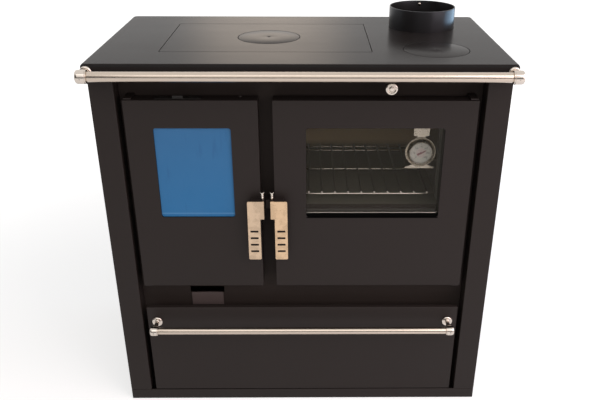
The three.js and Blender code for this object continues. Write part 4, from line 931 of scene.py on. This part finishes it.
class COOKSTOVE_OT_rails(bpy.types.Operator):
    """Makes the towel rail, the drawer rail and their brackets"""
    bl_idname = "cookstove.rails"
    bl_label = "Rails"

    # half the barrel's length as a share of its radius, the neck's radius, the depth of the turned groove and
    # how deep the socket screw lies
    barrel_share = 0.8
    neck_radius = 4.8 * MM
    groove = 0.9 * MM
    screw_sink = 0.2 * MM

    def execute(self, context):
        settings = context.scene.cookstove_rails
        for rail in ("top_rail", "drawer_rail"):
            low, high, mid = box_of(rail)
            bar = rod((high[2] - low[2]) / 2, low[0], high[0], (0, mid[1], mid[2]), "x", steps=settings.facets)
            make_piece(f"{rail}_fine", bar, brushed_stainless(), rail)
            for side in ("left", "right"):
                self.make_bracket(settings, f"{rail}_bracket_{side}", mid[1])
        return {"FINISHED"}

    def make_bracket(self, settings, node, rail_y):
        """Rosette and neck turned about Y: a convex ring, a hollow and a straight neck. Barrel turned about X:
        a nearly round drum with a groove and a narrow collar where the rail goes in."""
        low, high, mid = box_of(node)
        rosette = (high[0] - low[0]) / 2
        barrel = rail_y - low[1]
        half = barrel * self.barrel_share
        neck, groove = self.neck_radius, self.groove
        reach = high[1] - rail_y
        dome = settings.rosette_dish
        foot = rounded_profile([
            (0, 0), (rosette, 0), (rosette, dome * 0.55), (rosette * 0.78, dome), (neck * 1.35, dome * 0.8),
            (neck, dome * 1.1), (neck, reach), (0, reach)],
            [0, 0.6 * MM, 2.4 * MM, 2.4 * MM, 1.2 * MM, 0.8 * MM, 0, 0], 6)
        shell = rounded_profile([
            (0, -half), (barrel, -half), (barrel, half - 3.2 * groove), (barrel - groove, half - 2.6 * groove),
            (barrel - groove, half - 2 * groove), (barrel - 0.3 * groove, half - 1.8 * groove),
            (barrel - 0.3 * groove, half), (0, half)],
            [0, settings.barrel_edge, 2.5 * MM, 0.2 * MM, 0.2 * MM, 0.3 * MM, 0.4 * MM, 0], 8)
        inwards = 1 if mid[0] < 0 else -1
        make_piece(f"{node}_fine", combine([
            turned(foot * [1, -1], (mid[0], high[1], mid[2]), "y", settings.facets),
            turned(shell * [1, inwards], (mid[0], rail_y, mid[2]), "x", settings.facets)]), bright_chrome(), node)
        self.make_screw(node, (mid[0], low[1] + self.screw_sink, mid[2]))

    def make_screw(self, node, place):
        """A socket screw: a dark cup with a rounded lip, let into the barrel."""
        profile = profile_mm([(0, 0.9), (1.4, 0.9), (1.6, -0.12), (2.4, -0.12), (2.6, 1.2), (0, 1.4)], 0.2, 3)
        make_piece(f"{node}_screw", turned(profile, place, "y", 24), lacquer("blackened_screw", "#1b1a19"),
                   on=node)


class COOKSTOVE_OT_doors(bpy.types.Operator):
    """Makes both doors with their glass, frames and rope seals"""
    bl_idname = "cookstove.doors"
    bl_label = "Doors"

    # the doors' folded outer edges against other sheet edges, the share that their windows' cut edges get,
    # and the border within which an edge counts as outer
    door_share = 1.6
    window_share = 0.16
    border = 28 * MM
    glass_edge = 0.4 * MM
    # how far the pane reaches behind its door's edge, and the tapes, bead and black strip at the oven glass's foot;
    # the tape in front of the glass is taller, so that it hides the one behind from the camera
    # painted shade: the black strip and the front tape stand in for the shadow gap at the window's foot; the front
    # tape is partly a real seal
    glass_border = 9 * MM
    tape_seat = 0.3 * MM
    tape_height = 4.6 * MM
    front_rise = 2.9 * MM
    bead_radius = 1.7 * MM
    shade_strip_height = 2.2 * MM
    # the rope's half width, the radius of its corners, its strands' pitch and swell, how much of its box it
    # fills, and the points along and round it
    rope_half = 4.0 * MM
    rope_corner = 12.0 * MM
    rope_pitch = 9 * MM
    rope_swell = 0.05
    rope_fill = 0.95
    rope_steps = (480, 16)

    def execute(self, context):
        edges = context.scene.cookstove_edges
        for door in ("fire_door", "oven_door"):
            sheet = soften(door, stove_paint(), edges.sheet_edge * self.door_share, share=lambda at, door=door: (
                np.where(self.in_window(door, at), self.window_share, 1.0)))
            # painted shade: the side walls of each window's cut-out are made near-black, standing in for the shade
            # inside the reveal
            blacken(sheet, lacquer("blackened_reveal", "#040404", 0.8, 0.1), lambda at, normals, door=door: (
                self.in_window(door, at) & is_side(normals)))
            soften(f"{door}_frame", cast_iron(), edges.cast_edge, 2)
            self.make_seal(f"{door}_gasket")
        soften("fire_door_glass", blue_glass(), self.glass_edge, 2)
        soften("oven_door_glass", oven_glass(), self.glass_edge, 2)
        self.make_retainer()
        return {"FINISHED"}

    def in_window(self, door, places):
        """True for each place inside the door's outline by more than its folded border. The folded outer edges
        are rounded in full, the cut edges of the window are only broken."""
        within = inset(door, places)
        return (within[:, 0] > self.border) & (within[:, 2] > self.border)

    def make_retainer(self):
        """At the oven glass's foot: black sealing tape behind and in front of it, a narrow flat trim on the
        door's face below, and behind it a bright bead, a round bar that holds the glass down."""
        low, high, _ = box_of("oven_door_glass")
        x0, x1 = low[0] + self.glass_border, high[0] - self.glass_border
        edge = low[2] + self.glass_border
        foot, top = edge + self.tape_seat, edge + self.tape_seat + self.tape_height
        front, back, face = low[1], high[1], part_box("oven_door")[0][1]
        for name, ink, z0, z1, corner, y0, y1, bevel in (
                ("oven_glass_tape", ("black_glass_tape", "#0b0a09", 0.85), foot, top, 0,
                 back + 0.4 * MM, back + 1.4 * MM, 0.3 * MM),
                # painted shade: the near-black front tape and the strip on the door's face below deepen the shadow gap
                # at the window's foot
                ("oven_glass_front_tape", ("black_front_tape", "#030303", 0.8, 0.05), foot, top + self.front_rise, 0,
                 front - 1.2 * MM, front - 0.2 * MM, 0.2 * MM),
                ("oven_window_trim", ("black_window_trim", "#030303", 0.8, 0.05), edge - self.shade_strip_height, edge,
                 2 * MM, face - 0.3 * MM, face + 0.3 * MM, 0.0)):
            outline = [(x0, z0), (x1, z0), (x1, z1), (x0, z1)]
            if corner:
                outline = rounded_outline(outline, [corner, corner, 0, 0], 6)
            make_piece(name, plate_along_y(outline, y0, y1), lacquer(*ink), on="oven_door",
                       bevel=bevel)
        place = (0, back + 0.4 * MM + self.bead_radius, top + self.bead_radius)
        make_piece("oven_glass_retainer", rod(self.bead_radius, x0, x1, place, "x", 0.6 * MM, 20),
                   brushed_stainless("retainer_steel", "#c6c0b6"), on="oven_door")

    def make_seal(self, node):
        """Rope round a rounded rectangle: corners are quarter circles, the section an ellipse whose
        size follows 1 + swell cos(3t + 2 pi s / pitch)."""
        low, high, mid = box_of(node)
        half, corner = self.rope_half, self.rope_corner
        inside = half + corner
        arc = np.linspace(0, math.pi / 2, 9)
        flat = []
        for quarter, (cx, cz) in enumerate((
                (high[0] - inside, high[2] - inside), (low[0] + inside, high[2] - inside),
                (low[0] + inside, low[2] + inside), (high[0] - inside, low[2] + inside))):
            angle = quarter * math.pi / 2 + arc
            flat.append(np.column_stack([cx + corner * np.cos(angle), cz + corner * np.sin(angle)]))
        flat = np.concatenate(flat)
        closed = np.vstack([flat, flat[:1]])
        lengths = np.concatenate([[0], np.cumsum(np.linalg.norm(np.diff(closed, axis=0), axis=1))])
        along, around = self.rope_steps
        s = np.linspace(0, lengths[-1], along, endpoint=False)
        path = np.column_stack([np.interp(s, lengths, closed[:, 0]), np.full(along, mid[1]),
                                np.interp(s, lengths, closed[:, 1])])
        tangent = np.roll(path, -1, axis=0) - np.roll(path, 1, axis=0)
        tangent /= np.linalg.norm(tangent, axis=1, keepdims=True)
        side = np.cross(tangent, [0, 1, 0])
        up = np.tile([0.0, 1.0, 0.0], (along, 1))
        t = np.linspace(0, 2 * math.pi, around, endpoint=False)
        section = np.column_stack([half * np.cos(t), (high[1] - low[1]) / 2 * np.sin(t)]) * self.rope_fill
        twist = 1 + self.rope_swell * np.cos(3 * t[None, :] + 2 * math.pi * s[:, None] / self.rope_pitch)
        points, faces = swept_loop(path, side, up, section, twist)
        uv = np.stack(np.broadcast_arrays(s[:, None] / (3 * MM), t[None, :] / (2 * math.pi) * 8), axis=-1)
        make_piece(f"{node}_fine", (points, faces[:, ::-1]), fibre_rope(), node, uv=uv.reshape(-1, 2))


class COOKSTOVE_OT_handles(bpy.types.Operator):
    """Makes the door handles, their pivot pins and brackets"""
    bl_idname = "cookstove.handles"
    bl_label = "Handles"

    # the two grips are the same polished steel, but the left one is greyer: painted light, as the oven grip on the
    # right is painted warmer and lighter where the warm light from the right falls
    grip_tones_painted_light = {"fire": "#d8bea2", "oven": "#e2c29e"}
    # the block of slots within the grip, measured from the grip's outer edge and foot, the first slot's middle,
    # the slots' spacing, and what is filed off each side
    slots_across = (4 * MM, 24 * MM)
    slots_up = (16 * MM, 76 * MM)
    first_slot = 21 * MM
    slot_pitch = 16.2 * MM
    filed = 0.5 * MM
    # the pin's shank, and its crown: how tall it is, how far its top is notched and how far it stands above the
    # CAD pin
    shank_radius = 2.0 * MM
    crown_height = 6.4 * MM
    crown_notch = 2.0 * MM
    crown_lift = 2.5 * MM

    def execute(self, context):
        edges = context.scene.cookstove_edges
        for door, tone in self.grip_tones_painted_light.items():
            node = f"{door}_handle"
            steel = brushed_stainless(f"{node}_stainless", tone, 0.27, (1, 1, 0.03), 0.24)
            piece = soften(node, steel, edges.handle_edge, 3, 30, lambda at, node=node: (
                np.where(self.among_slots(node, at), 0.0, 1.0)))
            self.open_slots(node, piece)
            # painted shade: the slots' cut walls are made near-black, standing in for the shade inside the narrow
            # slots
            blacken(piece, lacquer("blackened_cut", "#0a0908", 0.8), lambda at, normals, node=node: (
                self.among_slots(node, at) & is_side(normals)))
            self.make_pin(f"{node}_pin")
            soften(f"{node}_bracket", stove_paint(), edges.cast_edge, 2)
        return {"FINISHED"}

    def among_slots(self, node, places):
        """True for each place that lies in the block of slots of this handle's grip."""
        low, high, _ = box_of(node)
        outward = places[:, 0] - low[0] if node == "fire_handle" else high[0] - places[:, 0]
        rise = places[:, 2] - low[2]
        near, far = self.slots_across
        bottom, top = self.slots_up
        return (outward > near) & (outward < far) & (rise > bottom) & (rise < top)

    def open_slots(self, node, piece):
        """Moves the slots' walls away from each slot's middle line, for the burr that is filed off them."""
        places = vertex_places(piece.data)
        rise = places[:, 2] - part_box(node)[0][2] - self.first_slot
        from_middle = rise - np.round(rise / self.slot_pitch) * self.slot_pitch
        places[:, 2] += np.where(self.among_slots(node, places), np.sign(from_middle) * self.filed, 0)
        piece.data.vertices.foreach_set("co", places.ravel())

    def make_pin(self, node):
        """Profile turned about Z: a straight shank, two beads with a groove between them, and a flared crown.
        Above the beads the y side is flattened, and the crown's top is notched by a parabola in x."""
        low, high, mid = box_of(node)
        wide, bead = (high - low)[:2] / 2
        top, shank = high[2] + self.crown_lift, self.shank_radius
        profile = rounded_profile(np.array([
            (0, low[2] - top), (shank, low[2] - top), (shank, -15.2 * MM), (bead, -15 * MM), (bead, -12.4 * MM),
            (shank * 1.1, -11.4 * MM), (shank * 1.1, -10.6 * MM), (bead, -9.8 * MM), (bead, -7.6 * MM),
            (bead * 0.84, -6.4 * MM), (wide, -0.6 * MM), (wide * 0.9, 0), (0, 0)]) + [0, top], 0.5 * MM, 4)
        points, faces = turned(profile, (0, 0, 0), "z", 40)
        rise = np.clip((points[:, 2] - top) / self.crown_height + 1, 0, 1)
        points[:, 1] *= 1 - rise * (1 - bead / wide)
        across = np.clip(np.abs(points[:, 0]) / wide, 0, 1)
        points[:, 2] -= np.where(rise > 0.85, self.crown_notch * (1 - across ** 2), 0)
        make_piece(f"{node}_fine", (points + [mid[0], mid[1], 0], faces),
                   brushed_stainless("pin_steel", "#e2dacf", 0.24, (1, 1, 0.2)), node)


class COOKSTOVE_OT_oven(bpy.types.Operator):
    """Makes the oven liner, its runners and racks"""
    bl_idname = "cookstove.oven"
    bl_label = "Oven"

    # each rack has four cross bars, at these shares of its depth, and eleven rods over them
    bar_radius = 2.5 * MM
    wire_radius = 2.0 * MM
    wire_count = 11
    bar_places = (0.007, 0.487, 0.898, 0.985)
    # the rods' tops are painted darker, painted shade for the dark oven that they reflect, but for their ends at the
    # front, which are cut leaning back
    bright_end = 3.0 * MM
    cut_lean = 0.45
    thin_edge = 0.4 * MM

    def execute(self, context):
        edges = context.scene.cookstove_edges
        soften("oven_box", oven_enamel(), edges.cast_edge, 2)
        for side in ("left", "right"):
            soften(f"rack_runner_{side}", sheet_steel("runner_steel", "#7a746c"), self.thin_edge, 2)
        for rack in ("oven_rack_lower", "oven_rack_upper"):
            self.make_rack(rack)
        soften("smoke_baffle", cast_iron(), edges.cast_edge, 2)
        soften("damper", sheet_steel("damper_steel", "#6d6861"), self.thin_edge, 2)
        return {"FINISHED"}

    def make_rack(self, node):
        """Wires as round bars: cross bars along X, and rods along Y lying on them. The rods' front ends lean
        back by y = y + lean times the height above the rod's underside."""
        low, high, _ = box_of(node)
        bar, wire = self.bar_radius, self.wire_radius
        parts = []
        for place in self.bar_places:
            middle = low[1] + max(place * (high[1] - low[1]), bar)
            parts.append(rod(bar, low[0], high[0], (0, middle, low[2] + bar), "x", 1.2 * MM, 20))
        for x in np.linspace(low[0] + wire, high[0] - wire, self.wire_count):
            points, faces = rod(wire, low[1], high[1], (x, 0, high[2] - wire), "y", 0.3 * MM, 16)
            front = points[:, 1] < low[1] + MM
            points[front, 1] += (points[front, 2] - high[2] + 2 * wire) * self.cut_lean
            parts.append((points, faces))
        piece = make_piece(f"{node}_fine", combine(parts), bright_chrome("rack_plating", "#e6dccf", 0.2), node,
                           angle=60)
        # painted shade: the rods' upper faces get a dark plating, standing in for their dark reflection of the oven
        blacken(piece, bright_chrome("heat_darkened_plating", "#3b3833", 0.3), lambda at, normals: (
            (at[:, 2] > low[2] + 2 * bar) & (at[:, 1] > low[1] + self.bright_end)))


class COOKSTOVE_OT_thermometer(bpy.types.Operator):
    """Makes the oven thermometer: case, dial, scale, pointer and lens"""
    bl_idname = "cookstove.thermometer"
    bl_label = "Thermometer"

    # the scale's ends in degrees from straight up, its marks, and how many marks lie between two numbers
    scale_ends = (-135.0, 135.0)
    mark_count = 31
    number_step = 5
    # where a mark starts and how wide it is, for long and short marks, where both end, where the numbers lie, as
    # shares of the dial's radius; the degrees between two numbers and the figures' height
    long_mark = (0.80, 0.7 * MM)
    short_mark = (0.87, 0.4 * MM)
    mark_end = 0.95
    number_place = 0.62
    number_gap = 50
    figure_height = 5.4 * MM
    # the case's depth from its bezel to the plate's back, its plates' thickness, the bezel's bead, and the lens
    # that lies inside the bezel
    case_depth = 12.0 * MM
    plate = 2 * MM
    bead_place = 24.7 * MM
    bead_radius = 0.8 * MM
    lens_radius = 23.8 * MM
    lens_forward = 3.3 * MM

    def execute(self, context):
        self.make_case()
        low, high, mid = box_of("thermometer_dial")
        radius = (high[0] - low[0]) / 2
        profile = rounded_profile([(0, low[1]), (radius, low[1]), (radius, high[1]), (0, high[1])], 0.4 * MM, 3)
        make_piece("thermometer_dial_fine", turned(profile, (mid[0], 0, mid[2]), "y", 72), dial_card(),
                   "thermometer_dial")
        self.make_scale(context, mid, low[1], radius)
        soften("thermometer_needle", lacquer("dark_red_lacquer", "#8e3434"), 0.1 * MM, 1)
        reach = self.lens_radius
        lens = rounded_profile([(0, 0), (reach, 0), (reach, 1.0 * MM), (0, 1.0 * MM)], 0.3 * MM, 3)
        make_piece("thermometer_lens", turned(lens, (mid[0], low[1] - self.lens_forward, mid[2]), "y", 72),
                   lens_glass(), on="thermometer_dial")
        return {"FINISHED"}

    def make_case(self):
        """Case: a dished disc with a raised rim and a bezel, a profile turned about Y. Foot, neck and hook plate:
        flat outlines with rounded corners, and a tongue that hooks over the rack's bar. All sizes are in
        millimetres from the dial's middle, and the depth is read forward from the plate's back."""
        mid = box_of("thermometer_dial")[2]
        low, high, _ = box_of("thermometer_case")
        rim = (high[0] - low[0]) / 2 / MM
        top, bottom = (high[2] - mid[2]) / MM, (low[2] - mid[2]) / MM
        back = low[1] + self.case_depth
        dish = profile_mm([
            (0, 0), (rim, 0), (rim, 2.6), (rim - 1.3, 3.2), (rim - 2.4, 2.0), (30.6, 2.4), (27.6, 8.6), (26, 11.2),
            (25.2, 12), (24, 12), (24, 2), (0, 2)], 0.6, 4)
        parts = [turned(dish * [1, -1], (mid[0], back, mid[2]), "y", 96)]
        foot = [(rim - 0.8, bottom), (33, -36), (17, -30.5), (12, -20)]
        hook = [(14, 30), (9.5, 34), (8.75, 36.6), (17.25, 37), (17.25, top)]
        tongue = [(10, top - 2), (10, top)]
        lip = [(10, top - 7.3), (10, top)]
        for half, radii, y0, y1 in (
                (foot, [0.6, 1, 9, 0, 0, 9, 1, 0.6], back - self.plate, back),
                (hook, [0, 2, 1.5, 0.8, 0.8, 0.8, 0.8, 1.5, 2, 0], back - self.plate, back),
                (tongue, 0, back - self.plate, high[1]),
                (lip, 0, high[1] - self.plate, high[1])):
            outline = rounded_outline(mirrored_outline(half) * MM, np.array(radii) * MM, 5)
            parts.append(plate_along_y(outline + [mid[0], mid[2]], y0, y1))
        make_piece("thermometer_case_fine", combine(parts),
                   brushed_stainless("thermometer_steel", "#b9af9f", 0.26, (1, 1, 1), 0.06), "thermometer_case",
                   bevel=0.25 * MM)
        turn = np.linspace(0, 2 * math.pi, 12)
        ring = np.column_stack([self.bead_place + self.bead_radius * np.cos(turn),
                                self.bead_radius * (1 - np.sin(turn)) - self.case_depth])
        make_piece("thermometer_bezel", turned(ring, (mid[0], back, mid[2]), "y", 96),
                   bright_chrome("bezel_chrome", "#e2dcd2", 0.14), on="thermometer_case")

    def make_scale(self, context, mid, front_y, radius):
        """Marks at equal angles round the dial, longer at each fifth, with plain numbers inside them."""
        ink = lacquer("black_ink", "#2b2a28", 0.5)
        angles = np.radians(np.linspace(*self.scale_ends, self.mark_count))
        parts = []
        for i, angle in enumerate(angles):
            inner, width = self.short_mark if i % self.number_step else self.long_mark
            along = np.array([math.sin(angle), math.cos(angle)])
            across = np.array([along[1], -along[0]]) * (width / 2)
            start, end = along * radius * inner, along * radius * self.mark_end
            outline = np.array([start - across, start + across, end + across, end - across]) + [mid[0], mid[2]]
            parts.append(plate_along_y(outline, front_y - 0.15 * MM, front_y + 0.05 * MM))
        make_piece("thermometer_marks", combine(parts), ink, on="thermometer_dial")
        for i, angle in enumerate(angles[::self.number_step]):
            place = mid + np.array([math.sin(angle), 0, math.cos(angle)]) * radius * self.number_place
            place[1] = front_y - 0.1 * MM
            self.make_number(context, str(i * self.number_gap), place, ink)

    def make_number(self, context, words, place, ink):
        curve = bpy.data.curves.new(f"number_{words}", "FONT")
        curve.body = words
        curve.size = self.figure_height
        curve.extrude = 0.08 * MM
        curve.align_x = "CENTER"
        curve.align_y = "CENTER"
        holder = bpy.data.objects.new(f"number_curve_{words}", curve)
        context.scene.collection.objects.link(holder)
        mesh = bpy.data.meshes.new_from_object(holder)
        bpy.data.objects.remove(holder)
        bpy.data.curves.remove(curve)
        mesh.transform(Matrix.Translation(place) @ Matrix.Rotation(math.pi / 2, 4, "X"))
        place_piece(f"thermometer_number_{words}", mesh, ink, on="thermometer_dial")


class COOKSTOVE_OT_fire_chamber(bpy.types.Operator):
    """Dresses the fire chamber: shell, grate, firebricks and ash pan"""
    bl_idname = "cookstove.fire_chamber"
    bl_label = "Fire chamber"

    grate_edge = 1.0 * MM
    brick_edge = 2.0 * MM
    sheet_edge = 0.6 * MM

    def execute(self, context):
        edges = context.scene.cookstove_edges
        soften("fire_shell", cast_iron("sooted_iron", "#211f1e"), edges.cast_edge, 2)
        soften("grate", cast_iron(), self.grate_edge)
        for side in ("left", "right", "back"):
            soften(f"firebrick_{side}", firebrick(), self.brick_edge)
        soften("ash_pan", sheet_steel(), self.sheet_edge, 2)
        return {"FINISHED"}


class COOKSTOVE_OT_drawer(bpy.types.Operator):
    """Makes the drawer's front, box and runners"""
    bl_idname = "cookstove.drawer"
    bl_label = "Drawer"

    inner_edge = 0.6 * MM

    def execute(self, context):
        soften("drawer_front", stove_paint(), context.scene.cookstove_edges.sheet_edge)
        for node in ("drawer_box", "drawer_runner_left", "drawer_runner_right"):
            soften(node, sheet_steel(), self.inner_edge, 2)
        return {"FINISHED"}


class COOKSTOVE_OT_controls(bpy.types.Operator):
    """Makes the damper knob, the air regulator and the small screw on the fire door"""
    bl_idname = "cookstove.controls"
    bl_label = "Controls"

    regulator_edge = 0.4 * MM
    # the screw on the fire door's top edge, from the door's right side and its face
    screw_place = (37 * MM, 27 * MM)

    def execute(self, context):
        self.make_knob()
        soften("air_regulator", stove_paint("regulator_paint", "#1b1816", 0.45, 0.3), self.regulator_edge, 2)
        low, high, _ = box_of("fire_door")
        head = profile_mm([(0, 0), (3.6, 0), (3.4, 1.6), (1.4, 2.6), (0, 2.6)], 0.8, 4)
        place = (high[0] - self.screw_place[0], low[1] + self.screw_place[1], high[2])
        make_piece("fire_door_screw", turned(head, place, "z", 32), lacquer("browned_screw", "#3a3634", 0.3),
                   on="fire_door")
        return {"FINISHED"}

    def make_knob(self):
        """Profile of a turned knob: a domed middle, a hollow ring, a rounded outer ring, a straight side with a
        groove, and a rounded back."""
        low, high, mid = box_of("damper_knob")
        radius, length = (high[0] - low[0]) / 2, high[1] - low[1]
        profile = rounded_profile([
            (0, 0), (radius * 0.3, 0), (radius * 0.46, 2.2 * MM), (radius * 0.58, 2.2 * MM), (radius * 0.72, 0.4 * MM),
            (radius, 1.6 * MM), (radius, length * 0.6), (radius * 0.88, length * 0.66), (radius * 0.88, length * 0.74),
            (radius * 0.96, length * 0.8), (radius * 0.96, length), (0, length)],
            np.array([0, 2.5, 1, 1, 1.5, 4, 0.6, 0.6, 0.6, 0.6, 2, 0]) * MM, 8)
        make_piece("damper_knob_fine", turned(profile, (mid[0], low[1], mid[2]), "y", 72), bright_chrome(),
                   "damper_knob")


class COOKSTOVE_PT_panel(bpy.types.Panel):
    """Lists the cookstove's settings and the steps that build it"""
    bl_idname = "COOKSTOVE_PT_panel"
    bl_label = "Cookstove"
    bl_space_type = "VIEW_3D"
    bl_region_type = "UI"
    bl_category = "Cookstove"

    def draw(self, context):
        for group in ("cookstove_edges", "cookstove_rails", "cookstove_glass", "cookstove_stage"):
            settings = getattr(context.scene, group)
            box = self.layout.box()
            for key in settings.bl_rna.properties.keys():
                if key not in ("rna_type", "name"):
                    box.prop(settings, key)
        for operator in OPERATORS:
            self.layout.operator(operator.bl_idname)


OPERATORS = (
    COOKSTOVE_OT_stage,
    COOKSTOVE_OT_casing,
    COOKSTOVE_OT_hob,
    COOKSTOVE_OT_rails,
    COOKSTOVE_OT_doors,
    COOKSTOVE_OT_handles,
    COOKSTOVE_OT_oven,
    COOKSTOVE_OT_thermometer,
    COOKSTOVE_OT_fire_chamber,
    COOKSTOVE_OT_drawer,
    COOKSTOVE_OT_controls,
)
SETTINGS = {
    "cookstove_edges": CookstoveEdges,
    "cookstove_rails": CookstoveRails,
    "cookstove_glass": CookstoveGlass,
    "cookstove_stage": CookstoveStage,
}


def register():
    for group in SETTINGS.values():
        bpy.utils.register_class(group)
    for key, group in SETTINGS.items():
        setattr(bpy.types.Scene, key, PointerProperty(type=group))
    for operator in OPERATORS:
        bpy.utils.register_class(operator)
    bpy.utils.register_class(COOKSTOVE_PT_panel)


def unregister():
    bpy.utils.unregister_class(COOKSTOVE_PT_panel)
    for operator in reversed(OPERATORS):
        bpy.utils.unregister_class(operator)
    for key in SETTINGS:
        delattr(bpy.types.Scene, key)
    for group in reversed(list(SETTINGS.values())):
        bpy.utils.unregister_class(group)


def main():
    register()
    bpy.ops.cookstove.stage()
    bpy.ops.cookstove.casing()
    bpy.ops.cookstove.hob()
    bpy.ops.cookstove.rails()
    bpy.ops.cookstove.doors()
    bpy.ops.cookstove.handles()
    bpy.ops.cookstove.oven()
    bpy.ops.cookstove.thermometer()
    bpy.ops.cookstove.fire_chamber()
    bpy.ops.cookstove.drawer()
    bpy.ops.cookstove.controls()


if __name__ == "__main__":
    main()
